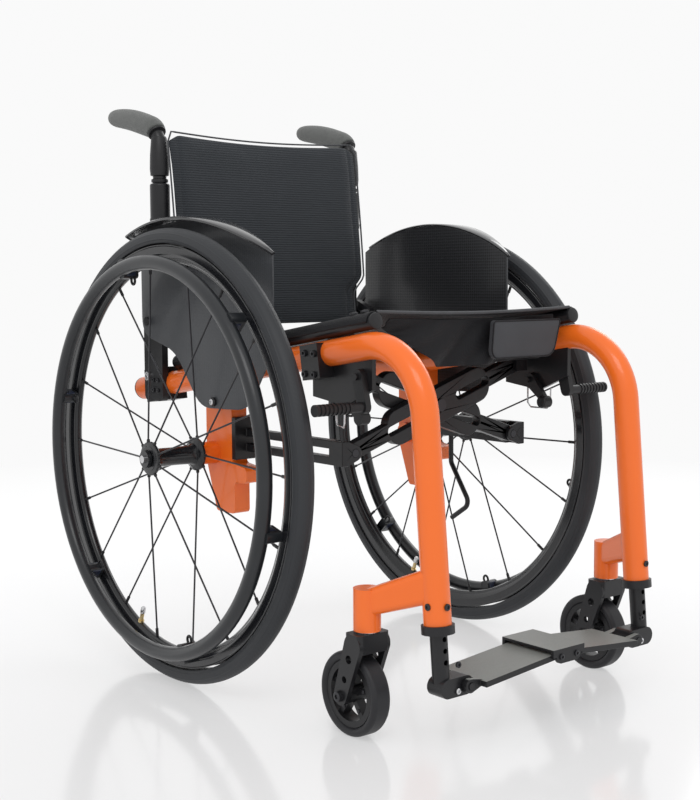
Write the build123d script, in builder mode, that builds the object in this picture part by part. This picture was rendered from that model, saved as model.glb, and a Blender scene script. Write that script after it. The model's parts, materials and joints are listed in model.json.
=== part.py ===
from build123d import *
import os
from math import atan2, cos, degrees, hypot, radians, sin, tan

# A lightweight folding wheelchair. +Z is up, the front faces -Y and +X is the chair's left.
# Every piece is drawn with Y = 0 at the rear axle and Z = 0 on the floor. save() then shifts
# it along Y, so that the origin is the middle of the chair's footprint.

os.makedirs("parts", exist_ok=True)

# ------------------------------------------------------------------ driving sizes, mm
# rear wheels
rim_seat_radius = 270.0     # bead seat of a 540 mm rim
tyre_width = 27.0
track_half = 252.0          # middle plane of a rear wheel
rim_inner_radius = 252.0
rim_edge_height = 5.0       # rim wall above the bead seat
rim_half_width = 10.5
rim_wall = 2.0
rim_nose_half = 6.0         # half width of the rim's inner edge
rim_bevel = 10.0
hub_inner_offset = 38.0     # from the wheel's middle plane to the inner flange
hub_outer_offset = 32.0
hub_flange_radius = 22.0
hub_flange_thickness = 5.0
hub_barrel_radius = 13.0
hub_nose = 3.0              # hub beyond each flange
hub_bearing_radius = 9.5
hub_bearing_width = 7.0
hub_bore_gap = 0.6          # between the axle and the shell, inside the bearings
spoke_count = 18
spoke_radius = 1.2
spoke_first_angle = 10.0    # from the vertical
handrim_radius = 252.5      # middle line of the tube
handrim_tube_radius = 9.5
handrim_offset = 32.0       # outboard of the wheel's middle plane
tab_count = 6
tab_width = 14.0
tab_inward = 12.0           # tab beyond the rim's inner edge, towards the axle
tab_outward = 14.0
tab_corner = 5.0
tab_first_angle = 45.0
# axle
axle_radius = 6.35
axle_head_radius = 11.0
axle_head_thickness = 6.0
button_radius = 5.0
button_travel = 3.0
button_seat = 2.0           # floor of the axle's head, below the button
button_stem_radius = 3.0
button_stem_length = 20.0
button_bore_length = 30.0
# main frame tubes
frame_half = 173.0          # middle line of the tubes
tube_radius = 16.0
tube_wall = 2.0
seat_slope = 0.155          # rise of the upper tube per unit of length, towards the front
rear_end_y = 197.0
rear_end_z = 371.0
corner_y = -396.0
foot_lean = 28.0            # how far the front tube's foot lies ahead of the corner
tube_foot_z = 144.0
bend_radius = 85.0
# caster carrier
head_x = 209.0
head_y = -345.0
head_bottom_z = 128.0
head_top_z = 177.0
head_radius = 16.0
head_lid = 4.0
bearing_radius = 13.0
bearing_height = 10.0
stem_radius = 6.0
arm_tube_z = 190.0
arm_tube_height = 42.0
arm_head_z = 160.0
arm_head_height = 32.0
arm_width = 24.0
# casters
caster_radius = 50.0
caster_width = 26.0
caster_trail = 22.0
caster_rim_radius = 39.0
caster_felloe = 7.0
caster_hub_radius = 11.0
caster_hub_half = 15.5
caster_spokes = 5
caster_spoke_width = 7.0
caster_spoke_half = 6.0
caster_spoke_overlap = 3.0
caster_rim_inset = 3.0      # rim narrower than the tyre, on each side
caster_axle_radius = 4.0
caster_head_radius = 6.5
caster_head_thickness = 3.0
fork_gap = 17.0             # half distance between the fork's arms
fork_plate = 6.0
fork_width = 28.0
fork_foot_radius = 11.0
fork_windows = ((6.0, 96.0, 5.0), (14.0, 71.0, 4.0))     # place behind the stem, height, radius
fork_crown_round = 6.0
stem_top_gap = 1.0
crown_clearance = 4.0
washer_gap = 2.0
# axle posts
post_half = 12.0
post_front_y = -42.0
post_rear_y = 18.0
post_foot_z = 219.0
post_foot_rear_y = -5.0
post_waist_z = 284.0        # where the rear edge starts to lean forward
post_seat_depth = 8.0       # post's top below the tube's middle line
post_foot_step = 5.0
post_foot_round = 6.0
lug_front_y = -74.0
lug_low_z = 262.0
lug_high_z = 286.0
lug_chamfer = 4.0
boss_radius = 15.0
boss_inset = 6.0            # boss beyond the post's inner face
axle_socket_depth = 28.0    # axle hole beyond the post's inner face
hub_gap = 1.0               # between the boss and the hub
# footrest
foot_tube_radius = 10.0
foot_tube_wall = 2.0
foot_insert = 70.0
collar_radius = 19.0
collar_height = 10.0
adjust_holes = 3
adjust_hole_radius = 3.0
adjust_hole_inset = 5.0     # first hole below the collar
adjust_hole_pitch = 13.0
knuckle_x = 146.0
knuckle_z = 74.0
knuckle_radius = 11.0
knuckle_half = 12.0
knuckle_pin_radius = 4.0
knuckle_pin_proud = 1.0     # pin beyond the plate's ears
plate_ear_thickness = 7.7
plate_start_gap = 3.0       # between the knuckle and the plate's edge
plate_depth = 74.0
plate_thickness = 7.0
plate_rise = 12.0           # the halves rise this much towards the middle
plate_front_margin = 30.0   # plate ahead of the knuckle's middle
link_half = 13.0
link_pin_radius = 3.0
link_cheek = 4.0
link_cover = 3.0
link_cover_gap = 0.5
link_cheek_radius = 8.0
link_cheek_inset = 1.0
open_hook = 15.0            # free room round the link's pin at the open pivot
# cross brace
pivot_x = 146.0
pivot_z = 316.0
brace_rise = 98.0
brace_y = -229.0
arm_thickness = 14.0
arm_gap = 2.0
arm_eye_radius = 10.5       # passes the frame tube as the chair folds
arm_waist = 46.0
arm_waist_length = 185.0
arm_waist_round = 20.9
arm_slot_place = 61.6       # windows in the arm, from its middle
arm_slot_length = 61.6
arm_slot_width = 11.5
pin_radius = 5.0
centre_pin_radius = 8.0
centre_pin_proud = 3.0
ear_thickness = 6.0
bar_height = 10.0           # two bars of the brace bracket, with a gap of the same height
bar_width = 14.0
bar_overlap = 1.0           # ears, bars and back plate grow into each other
ear_back_width = 7.0
bracket_foot_thickness = 8.0
bracket_foot_width = 32.0
bracket_foot_height = 56.0
bracket_foot_lift = 3.0
# seat rails
rail_x = 170.0
rail_radius = 10.0
rail_wall = 2.0
rail_gap = 1.5              # above the frame tube
rail_front_y = -315.0
rail_rear_y = 108.0
hanger_inner_x = 134.0
hanger_outer_x = 154.5
hanger_leg = 6.0
hanger_wall = 1.0           # below the pin's own radius of metal
hanger_slot_width = 40.0
hanger_slot_margin = 3.0
# backrest
cane_y = 146.0
cane_radius = 9.5
cane_wall = 1.5
cane_pivot_z = 479.0
cane_top_z = 738.0
cane_bottom_z = 466.0
clamp_low_z = 609.0
clamp_high_z = 662.0
clamp_radius = 14.0
grip_slope = 13.0
grip_radius = 14.0
grip_length = 112.0
grip_bend_radius = 28.0
back_bolt_radius = 5.0
grip_overhang = 3.0         # foam beyond the handle's end
grip_short = 3.0            # bare handle ahead of the foam
grip_round = 4.0
handle_reach = 12.0         # handle beyond the foam's length, to the post
clamp_round = 3.0
bracket_front = 34.0        # back bracket ahead of the post
bracket_rear = 14.0
bracket_drop = 21.0         # below the tube's middle line
bracket_rise = 15.0         # above the post's pivot
bracket_corner = 8.0
bracket_plate = 9.5
bracket_wall = 6.0          # outside the tube
bracket_inner_wall = 4.0
bracket_block_length = 40.0
bracket_block_wall = 7.0
bracket_block_shift = -8.0
bracket_stud = 4.0          # stud beyond the post, inwards
# side guards
guard_x = 203.0
guard_thickness = 3.0
fender_gap = 12.0
fender_thickness = 3.0
fender_width = 47.0
fender_front_angle = 33.0
fender_rear_angle = 26.0
guard_front_y = -165.0
guard_rear_y = 146.0
guard_front_z = 440.0
guard_rear_z = 452.0
guard_lower_edge = ((-110.0, 362.0), (0.0, 358.0), (60.0, 430.0))
guard_corner = 26.0
guard_bolt_radius = 4.0
guard_bolt_head_radius = 6.0
guard_bolt_head = 3.0
guard_bolt_hole = 4.5
guard_bolt_inset = 9.0      # lower bolt behind the post's front edge
guard_bolt_lead = 16.0      # upper bolt ahead of the back post
guard_bolt_low_z = 368.0
guard_bolt_high_z = 470.0
# wheel locks
lock_plate_x = 166.0
lock_plate_thickness = 6.0
lock_plate_outline = ((-312.0, 14.0), (-200.0, 12.5), (-200.0, 48.5), (-262.0, 66.0), (-312.0, 52.0))
lock_block_y = -222.0       # clamp block round the tube
lock_block_length = 34.0
lock_block_wall = 5.0
lock_block_drop = 8.0
lock_stud_length = 12.0
lever_pivot_y = -250.0
lever_pivot_drop = 50.3     # below the tube's middle line
lever_length = 40.0
lever_angle = 45.0
lever_thickness = 7.0
lever_eye_wall = 5.0
knob_radius = 8.0
shoe_pivot_y = -294.0
shoe_pivot_drop = 34.1
shoe_angle = 15.0           # of the bar, seen from the axle, above the horizontal
shoe_gap = 9.6              # between the open bar and the tyre
shoe_radius = 6.0
shoe_end_x = 250.0
shoe_arm_thickness = 8.0
rib_count = 9
rib_height = 1.0
rib_width = 3.0
rib_pitch = 6.0
lock_pin_radius = 4.0
# soft goods
seat_thickness = 8.0
seat_sag = 14.0
seat_lift = 2.0             # edge of the fabric above the rail
seat_side_gap = 1.0
seat_end_gap = 4.0
back_thickness = 8.0
back_half = 170.0
back_low_half = 150.0       # between the back brackets
back_step_z = 516.0
back_front_line = ((128.0, 734.0), (121.0, 660.0), (106.0, 540.0), (100.0, 456.0))  # Y and Z, top to bottom
pouch_from_x = 25.0
pouch_to_x = 148.0
pouch_height = 48.0
pouch_thickness = 5.0
pouch_drop = 4.0            # top edge below the rails' middle line
pouch_corner = 12.0
# tip lever
tip_rod_radius = 3.5
tip_rod_top_gap = 0.2
tip_rod_gap = 1.0           # beside the post's inner face
tip_rod_bend = 12.0
tip_rod_route = ((-97.0, 262.0), (-136.0, 205.0), (-99.0, 181.0))
# fits
running_fit = 0.05          # radial clearance of a pin that turns in a hole
body_gap = 0.3              # between surfaces of different bodies
seat_fit = 0.02             # between pressed or nested surfaces of one body

# ------------------------------------------------------------------ derived places
wheel_radius = rim_seat_radius + tyre_width
tube_foot_y = corner_y - foot_lean
corner_z = rear_end_z + seat_slope * (rear_end_y - corner_y)
slope_angle = degrees(atan2(seat_slope, 1.0))
bracket_outer_x = frame_half + tube_radius + bracket_wall
bracket_inner_x = frame_half - tube_radius - bracket_inner_wall
guard_bolts = (
    (post_front_y + guard_bolt_inset, guard_bolt_low_z, frame_half + post_half),
    (cane_y - guard_bolt_lead, guard_bolt_high_z, bracket_outer_x),
)
foot_vector = Vector(0, tube_foot_y - corner_y, tube_foot_z - corner_z).normalized()
knuckle_y = tube_foot_y + foot_vector.Y / foot_vector.Z * (knuckle_z - tube_foot_z)
plate_front_y = knuckle_y - plate_front_margin
cheek_front_y = plate_front_y - body_gap - link_cheek
axle_y = (-cheek_front_y - wheel_radius) / 2
brace_length = hypot(2 * pivot_x, brace_rise)
brace_angle = degrees(atan2(brace_rise, 2 * pivot_x))
upper_pivot_z = pivot_z + brace_rise
arm_offset = (arm_thickness + arm_gap) / 2
hub_inner_x = track_half - hub_inner_offset
hub_outer_x = track_half + hub_outer_offset
plate_tilt = degrees(atan2(plate_rise, knuckle_x - link_half))
plate_span = hypot(plate_rise, knuckle_x - link_half)
handrim_x = track_half + handrim_offset
rail_lift = tube_radius + rail_radius + rail_gap


def tube_z(y):
    """Height of the upper frame tube's middle line."""
    return rear_end_z + seat_slope * (rear_end_y - y)


def tube_point(y, drop):
    """A point (y, z) so far below the upper frame tube's middle line."""
    return (y, tube_z(y) - drop)


def rail_z(y):
    """Height of a seat rail's middle line."""
    return tube_z(y) + rail_lift / cos(radians(slope_angle))


lever_pivot_z = tube_z(lever_pivot_y) - lever_pivot_drop
shoe_pivot_z = tube_z(shoe_pivot_y) - shoe_pivot_drop
shoe_reach = wheel_radius + shoe_gap + shoe_radius + rib_height
shoe_y = -shoe_reach * cos(radians(shoe_angle))
shoe_z = wheel_radius + shoe_reach * sin(radians(shoe_angle))


def save(part, name):
    """Shifts a piece to the chair's own origin, labels it and writes it."""
    placed = Location((0, axle_y, 0)) * part
    placed.label = name
    export_step(placed, f"parts/{name}.step")


def save_pair(part, name):
    """Writes the left piece and its mirror image on the right."""
    save(part, f"left_{name}")
    save(mirror(part, about=Plane.YZ), f"right_{name}")


def side_plane(x):
    """A plane that faces +X, where sketch points are (y, z)."""
    return Plane.YZ.offset(x)


def front_plane(y):
    """A plane that faces the front, where sketch points are (x, z)."""
    return Plane(origin=(0, y, 0), x_dir=(1, 0, 0), z_dir=(0, -1, 0))


def wheel_axis():
    """Axis of both rear wheels."""
    return Axis((0, 0, wheel_radius), (1, 0, 0))


def pin_x(y, z, radius, x_from, x_to, mode=Mode.ADD):
    """A round bar or hole along X."""
    with BuildSketch(side_plane(x_from)) as disc:
        with Locations((y, z)):
            Circle(radius)
    extrude(disc.sketch, amount=x_to - x_from, mode=mode)


def pin_y(x, z, radius, y_front, y_rear, mode=Mode.ADD):
    """A round bar or hole along Y."""
    with BuildSketch(front_plane(y_rear)) as disc:
        with Locations((x, z)):
            Circle(radius)
    extrude(disc.sketch, amount=y_rear - y_front, mode=mode)


def pin_z(x, y, radius, z_from, z_to, mode=Mode.ADD):
    """A round bar or hole along Z."""
    with BuildSketch(Plane.XY.offset(z_from)) as disc:
        with Locations((x, y)):
            Circle(radius)
    extrude(disc.sketch, amount=z_to - z_from, mode=mode)


def frame_line():
    """Middle line of the main frame tube."""
    with BuildLine(side_plane(frame_half)) as line:
        FilletPolyline(
            (rear_end_y, rear_end_z),
            (corner_y, corner_z),
            (tube_foot_y, tube_foot_z),
            radius=bend_radius,
        )
    return line.line


def swept_frame_line(radius, mode=Mode.ADD):
    """A round bar or hole along the main frame tube."""
    line = frame_line()
    with BuildSketch(Plane(origin=line @ 0, z_dir=line % 0)) as disc:
        Circle(radius)
    sweep(disc.sketch, path=line, mode=mode)


# ------------------------------------------------------------------ frame pieces
def frame_tube():
    """Bent main tube with the welded caster arm and head tube."""
    outward = Vector(head_x - frame_half, head_y - tube_foot_y, 0).normalized()
    across = Vector(-outward.Y, outward.X, 0)
    with BuildPart() as tube:
        swept_frame_line(tube_radius)
        with BuildSketch(Plane(origin=(frame_half, tube_foot_y, arm_tube_z), x_dir=across, z_dir=outward)):
            RectangleRounded(arm_width, arm_tube_height, arm_width / 3)
        with BuildSketch(Plane(origin=(head_x, head_y, arm_head_z), x_dir=across, z_dir=outward)):
            RectangleRounded(arm_width, arm_head_height, arm_width / 3)
        loft()
        pin_z(head_x, head_y, head_radius, head_bottom_z, head_top_z)
        swept_frame_line(tube_radius - tube_wall, mode=Mode.SUBTRACT)
        pin_z(head_x, head_y, bearing_radius, head_bottom_z, head_top_z - head_lid, mode=Mode.SUBTRACT)
    return tube.part


def frame_fittings():
    """Small turned parts held by the frame: bearings, sleeve and collar, end cap and bolts."""
    line = frame_line()
    bore = tube_radius - tube_wall - seat_fit
    foot = Plane(origin=line @ 1, z_dir=line % 1)
    rear = Plane(origin=line @ 0, z_dir=-(line % 0))
    with BuildPart() as fittings:
        for low in (head_bottom_z, head_top_z - head_lid - bearing_height - stem_top_gap):
            pin_z(head_x, head_y, bearing_radius - seat_fit, low, low + bearing_height)
            pin_z(head_x, head_y, stem_radius + running_fit, low, low + bearing_height, Mode.SUBTRACT)
        with BuildSketch(foot.offset(seat_fit)):
            Circle(collar_radius)
            Circle(foot_tube_radius + seat_fit, mode=Mode.SUBTRACT)
        extrude(amount=collar_height)
        with BuildSketch(foot.offset(seat_fit)):
            Circle(bore)
            Circle(foot_tube_radius + seat_fit, mode=Mode.SUBTRACT)
        extrude(amount=-foot_insert)
        with BuildSketch(rear.offset(seat_fit)):
            Circle(tube_radius)
        extrude(amount=tube_wall)
        with BuildSketch(rear.offset(seat_fit)):
            Circle(bore)
        extrude(amount=-tube_radius)
        for y, z, from_x in guard_bolts:
            pin_x(y, z, guard_bolt_radius, from_x + seat_fit, guard_x - seat_fit)
            cap_x = guard_x + guard_thickness + seat_fit
            pin_x(y, z, guard_bolt_head_radius, cap_x, cap_x + guard_bolt_head)
    return fittings.part


def axle_post():
    """Cast post under the tube, with the boss that receives the rear axle."""
    foot_front_y = post_front_y - post_foot_step
    outline = [
        tube_point(post_front_y, post_seat_depth),
        tube_point(post_rear_y, post_seat_depth),
        (post_rear_y, post_waist_z),
        (post_foot_rear_y, post_foot_z),
        (foot_front_y, post_foot_z),
        (foot_front_y, lug_low_z),
        (lug_front_y, lug_low_z),
        (lug_front_y, lug_high_z - lug_chamfer),
        (post_front_y, lug_high_z),
    ]
    with BuildPart() as post:
        with BuildSketch(side_plane(frame_half - post_half)) as side:
            with BuildLine():
                Polyline(*outline, close=True)
            make_face()
            fillet(side.vertices().group_by(Axis.Z)[0], post_foot_round)
        extrude(amount=2 * post_half)
        post_inner = frame_half - post_half
        boss_end = hub_inner_x - hub_nose - hub_gap
        pin_x(0, wheel_radius, boss_radius, post_inner - boss_inset, boss_end)
        swept_frame_line(tube_radius + seat_fit, mode=Mode.SUBTRACT)
        socket_end = post_inner - axle_socket_depth
        pin_x(0, wheel_radius, axle_radius + seat_fit, socket_end, boss_end, Mode.SUBTRACT)
    return post.part


def footrest_tube():
    """Height-adjustable tube below the frame, with the knuckle that carries a plate half."""
    line = frame_line()
    top = (line @ 1) - (line % 1) * foot_insert
    drop = Vector(frame_half, knuckle_y, knuckle_z) - top
    reach = knuckle_half + body_gap + plate_ear_thickness + knuckle_pin_proud
    with BuildPart() as tube:
        with BuildSketch(Plane(origin=top, z_dir=line % 1)):
            Circle(foot_tube_radius)
        extrude(amount=drop.length)
        with BuildSketch(front_plane(knuckle_y + knuckle_half)):
            with Locations((knuckle_x, knuckle_z), (frame_half, knuckle_z)):
                Circle(knuckle_radius)
            make_hull()
        extrude(amount=2 * knuckle_half)
        with BuildSketch(Plane(origin=top, z_dir=line % 1)):
            Circle(foot_tube_radius - foot_tube_wall)
        extrude(amount=drop.length - 2 * knuckle_radius, mode=Mode.SUBTRACT)
        for step in range(adjust_holes):
            hole_z = tube_foot_z - collar_height - adjust_hole_inset - step * adjust_hole_pitch
            pin_y(frame_half, hole_z, adjust_hole_radius, knuckle_y - reach, knuckle_y, Mode.SUBTRACT)
        pin_y(knuckle_x, knuckle_z, knuckle_pin_radius, knuckle_y - reach, knuckle_y + reach)
    return tube.part


def plate_plane(y):
    """Local x runs from the knuckle's pin to the middle of the chair, y is the plate's upper side."""
    tilt = radians(plate_tilt)
    return Plane(origin=(knuckle_x, y, knuckle_z), x_dir=(-cos(tilt), 0, sin(tilt)), z_dir=(0, 1, 0))


def footplate(with_barrel):
    """One half of the footplate. The half with the barrel keeps the link's pin."""
    end = plate_span if with_barrel else plate_span - open_hook
    start = knuckle_radius + plate_start_gap
    top = plate_thickness / 2
    ear_low = knuckle_half + body_gap
    ear_high = ear_low + plate_ear_thickness
    bore = knuckle_pin_radius + running_fit
    with BuildPart() as plate:
        with BuildSketch(plate_plane(plate_front_y)):
            with Locations(((start + end) / 2, 0)):
                Rectangle(end - start, plate_thickness)
        extrude(amount=plate_depth)
        for low in (knuckle_y + ear_low, knuckle_y - ear_high):
            with BuildSketch(plate_plane(low)):
                Circle(2 * knuckle_pin_radius)
                with Locations((start + top, 0)):
                    Circle(top)
                make_hull()
            extrude(amount=plate_ear_thickness)
        if with_barrel:
            with BuildSketch(plate_plane(plate_front_y)):
                with Locations((plate_span, 0)):
                    Circle(2 * link_pin_radius)
            extrude(amount=plate_depth)
            with BuildSketch(plate_plane(plate_front_y)):
                with Locations((plate_span, 0)):
                    Circle(link_pin_radius + running_fit)
            extrude(amount=plate_depth, mode=Mode.SUBTRACT)
        with BuildSketch(plate_plane(plate_front_y)):
            Circle(bore)
        extrude(amount=plate_depth, mode=Mode.SUBTRACT)
    return plate.part


def foot_link():
    """Middle link of the footplate: two cheeks, a cover and two hinge pins."""
    link_z = knuckle_z + plate_rise
    rear = plate_front_y + plate_depth
    cover_low = link_z + 2 * link_pin_radius + link_cover_gap
    cheek_width = 2 * (link_half + open_hook - link_cheek_inset)
    with BuildPart() as link:
        for y_rear in (plate_front_y - body_gap, rear + body_gap + link_cheek):
            with BuildSketch(front_plane(y_rear)):
                with Locations((-link_half, link_z), (link_half, link_z)):
                    Circle(link_cheek_radius)
                make_hull()
                with Locations((0, (link_z + cover_low + link_cover) / 2)):
                    Rectangle(cheek_width, cover_low + link_cover - link_z)
            extrude(amount=link_cheek)
        with BuildSketch(front_plane(rear + body_gap)):
            with Locations((0, cover_low + link_cover / 2)):
                Rectangle(cheek_width, link_cover)
        extrude(amount=plate_depth + 2 * body_gap)
        for x in (-link_half, link_half):
            pin_y(x, link_z, link_pin_radius, plate_front_y - body_gap, rear + body_gap)
    return link.part


def back_bracket():
    """Plate on the rear of the tube with the two studs that carry the back post."""
    low_z = tube_z(cane_y) - bracket_drop
    front_y = cane_y - bracket_front
    rear_y = cane_y + bracket_rear
    top_z = cane_pivot_z + bracket_rise
    outline = [(front_y, low_z), (rear_y, low_z), (rear_y, top_z), (cane_y, top_z), (front_y, cane_pivot_z)]
    block_y = cane_y + bracket_block_shift
    block_height = 2 * (tube_radius + bracket_block_wall)
    with BuildPart() as bracket:
        with BuildSketch(side_plane(bracket_outer_x - bracket_plate)) as side:
            with BuildLine():
                Polyline(*outline, close=True)
            make_face()
            fillet(side.vertices(), bracket_corner)
        extrude(amount=bracket_plate)
        with BuildSketch(side_plane(bracket_inner_x)):
            with Locations((block_y, tube_z(block_y))):
                Rectangle(bracket_block_length, block_height, rotation=-slope_angle)
        extrude(amount=bracket_outer_x - bracket_inner_x)
        swept_frame_line(tube_radius + seat_fit, mode=Mode.SUBTRACT)
        stud_from = frame_half - cane_radius - bracket_stud
        pin_x(cane_y, cane_pivot_z, back_bolt_radius, stud_from, bracket_outer_x)
    return bracket.part


def cane_line():
    """Middle line of a back post, up and then back into the push handle."""
    rise = grip_length * tan(radians(grip_slope))
    with BuildLine(side_plane(frame_half)) as line:
        FilletPolyline(
            (cane_y, cane_bottom_z),
            (cane_y, cane_top_z),
            (cane_y + grip_length + handle_reach, cane_top_z + rise),
            radius=grip_bend_radius,
        )
    return line.line


def cane():
    """Back post with its height clamp."""
    line = cane_line()
    with BuildPart() as post:
        with BuildSketch(Plane(origin=line @ 0, z_dir=line % 0)):
            Circle(cane_radius)
        sweep(path=line)
        pin_z(frame_half, cane_y, clamp_radius, clamp_low_z, clamp_high_z)
        circles = post.edges().filter_by(GeomType.CIRCLE)
        fillet(circles.filter_by(lambda edge: edge.radius > clamp_radius - clamp_round), clamp_round)
        with BuildSketch(Plane(origin=line @ 0, z_dir=line % 0)) as hollow:
            Circle(cane_radius - cane_wall)
        sweep(hollow.sketch, path=line, mode=Mode.SUBTRACT)
        bore = back_bolt_radius + running_fit
        pin_x(cane_y, cane_pivot_z, bore, bracket_inner_x, bracket_outer_x, Mode.SUBTRACT)
    return post.part


def grip():
    """Foam push grip with a closed round end."""
    line = cane_line()
    tip = line @ 1
    back = Plane(origin=tip, z_dir=line % 1)
    with BuildPart() as foam:
        with BuildSketch(back.offset(grip_overhang)):
            Circle(grip_radius)
        extrude(amount=grip_short + grip_overhang - grip_length)
        fillet(foam.edges(), grip_round)
        with BuildSketch(back.offset(seat_fit)):
            Circle(cane_radius + seat_fit)
        extrude(amount=-grip_length, mode=Mode.SUBTRACT)
    return foam.part


def side_guard():
    """Flat guard beside the seat with the fender over the tyre, moulded in one."""
    inner = wheel_radius + fender_gap
    front_top = wheel_radius + (inner ** 2 - guard_front_y ** 2) ** 0.5
    rear_top = wheel_radius + (inner ** 2 - guard_rear_y ** 2) ** 0.5
    lean = radians(fender_rear_angle)
    start = Plane(origin=(0, 0, wheel_radius), x_dir=(1, 0, 0), z_dir=(0, -cos(lean), sin(lean)))
    with BuildPart() as guard:
        with BuildSketch(side_plane(guard_x)) as side:
            with BuildLine():
                crown = (0, wheel_radius + inner)
                ThreePointArc((guard_rear_y, rear_top), crown, (guard_front_y, front_top))
                Polyline(
                    (guard_front_y, front_top),
                    (guard_front_y, guard_front_z),
                    *guard_lower_edge,
                    (guard_rear_y, guard_rear_z),
                    (guard_rear_y, rear_top),
                )
            make_face()
            fillet(side.vertices().group_by(Axis.Z)[0:5], guard_corner)
        extrude(amount=guard_thickness)
        with BuildSketch(start):
            with Locations((guard_x + fender_width / 2, inner + fender_thickness / 2)):
                Rectangle(fender_width, fender_thickness)
        revolve(axis=wheel_axis(), revolution_arc=fender_rear_angle + fender_front_angle)
        for y, z, _ in guard_bolts:
            pin_x(y, z, guard_bolt_hole, guard_x, guard_x + guard_thickness, Mode.SUBTRACT)
    return guard.part


# ------------------------------------------------------------------ wheel locks
def lock_clamp():
    """Clamp on the tube with the base plate and pivot studs of the wheel lock."""
    plate_end = lock_plate_x + lock_plate_thickness
    block_half = tube_radius + lock_block_wall
    with BuildPart() as clamp:
        with BuildSketch(side_plane(lock_plate_x)):
            with BuildLine():
                Polyline(*[tube_point(y, drop) for y, drop in lock_plate_outline], close=True)
            make_face()
        extrude(amount=lock_plate_thickness)
        with BuildSketch(side_plane(lock_plate_x)):
            with Locations(tube_point(lock_block_y, lock_block_drop)):
                Rectangle(lock_block_length, 2 * block_half, rotation=-slope_angle)
        extrude(amount=frame_half + block_half - lock_plate_x)
        swept_frame_line(tube_radius + seat_fit, mode=Mode.SUBTRACT)
        pin_x(lever_pivot_y, lever_pivot_z, lock_pin_radius, lock_plate_x - lock_stud_length, lock_plate_x)
        pin_x(shoe_pivot_y, shoe_pivot_z, lock_pin_radius, plate_end, plate_end + lock_stud_length)
    return clamp.part


def lock_lever():
    """Hand lever of a wheel lock with its round knob."""
    knob_y = lever_pivot_y - lever_length * cos(radians(lever_angle))
    knob_z = lever_pivot_z - lever_length * sin(radians(lever_angle))
    x_to = lock_plate_x - body_gap
    x_from = x_to - lever_thickness
    with BuildPart() as lever:
        with BuildSketch(side_plane(x_from)):
            with Locations((lever_pivot_y, lever_pivot_z)):
                Circle(lock_pin_radius + lever_eye_wall)
            with Locations((knob_y, knob_z)):
                Circle(lock_pin_radius)
            make_hull()
        extrude(amount=lever_thickness)
        pin_x(knob_y, knob_z, knob_radius, x_from - knob_radius, x_to)
        fillet(lever.edges().filter_by(GeomType.CIRCLE).group_by(Axis.X)[0], knob_radius / 3)
        bore = lock_pin_radius + running_fit
        pin_x(lever_pivot_y, lever_pivot_z, bore, x_from - knob_radius, x_to, Mode.SUBTRACT)
    return lever.part


def lock_shoe():
    """Swinging arm and ribbed bar that presses on the tyre."""
    x_from = lock_plate_x + lock_plate_thickness + body_gap
    with BuildPart() as shoe:
        with BuildSketch(side_plane(x_from)):
            with Locations((shoe_pivot_y, shoe_pivot_z)):
                Circle(lock_pin_radius + lever_eye_wall)
            with Locations((shoe_y, shoe_z)):
                Circle(2 * lock_pin_radius)
            make_hull()
        extrude(amount=shoe_arm_thickness)
        pin_x(shoe_y, shoe_z, shoe_radius, x_from, shoe_end_x)
        for rib in range(rib_count):
            rib_x = shoe_end_x - rib_width - rib * rib_pitch
            pin_x(shoe_y, shoe_z, shoe_radius + rib_height, rib_x, rib_x + rib_width)
        bore = lock_pin_radius + running_fit
        pin_x(shoe_pivot_y, shoe_pivot_z, bore, x_from, x_from + shoe_arm_thickness, Mode.SUBTRACT)
    return shoe.part


# ------------------------------------------------------------------ cross brace and seat rails
def arm_y(side):
    """Middle plane of an arm. side is -1 for the arm that starts on the right, +1 on the left."""
    return brace_y + side * arm_offset


def cross_arm(side):
    """Forged arm from the lower pivot on its own side to the rail on the other side."""
    own_fit = seat_fit if side < 0 else running_fit
    turn = -side * brace_angle
    middle = (0, pivot_z + brace_rise / 2)
    ends = ((side * pivot_x, pivot_z), (-side * pivot_x, upper_pivot_z))
    with BuildPart() as arm:
        with BuildSketch(front_plane(arm_y(side) + arm_thickness / 2)):
            with Locations(Location(middle + (0,), turn)):
                SlotCenterToCenter(brace_length, 2 * arm_eye_radius)
                RectangleRounded(arm_waist_length, arm_waist, arm_waist_round)
                with Locations((arm_slot_place, 0), (-arm_slot_place, 0)):
                    SlotOverall(arm_slot_length, arm_slot_width, mode=Mode.SUBTRACT)
            with Locations(*ends):
                Circle(pin_radius + seat_fit, mode=Mode.SUBTRACT)
            with Locations(middle):
                Circle(centre_pin_radius + own_fit, mode=Mode.SUBTRACT)
        extrude(amount=arm_thickness)
    return arm.part


def brace_pins(side):
    """Pivot pins held in one arm. The right arm also holds the centre pin."""
    reach = arm_thickness / 2 + body_gap + ear_thickness
    y = arm_y(side)
    with BuildPart() as pins:
        for x, z in ((side * pivot_x, pivot_z), (-side * pivot_x, upper_pivot_z)):
            pin_y(x, z, pin_radius, y - reach, y + reach)
        if side < 0:
            beyond = arm_thickness / 2 + centre_pin_proud
            pin_y(0, pivot_z + brace_rise / 2, centre_pin_radius, y - beyond, arm_y(1) + beyond)
    return pins.part


def clevis_ears(side):
    """Front and rear faces of the two ears round an arm, as (front, rear) pairs."""
    inner = arm_thickness / 2 + body_gap
    y = arm_y(side)
    return ((y - inner - ear_thickness, y - inner), (y + inner, y + inner + ear_thickness))


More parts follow.
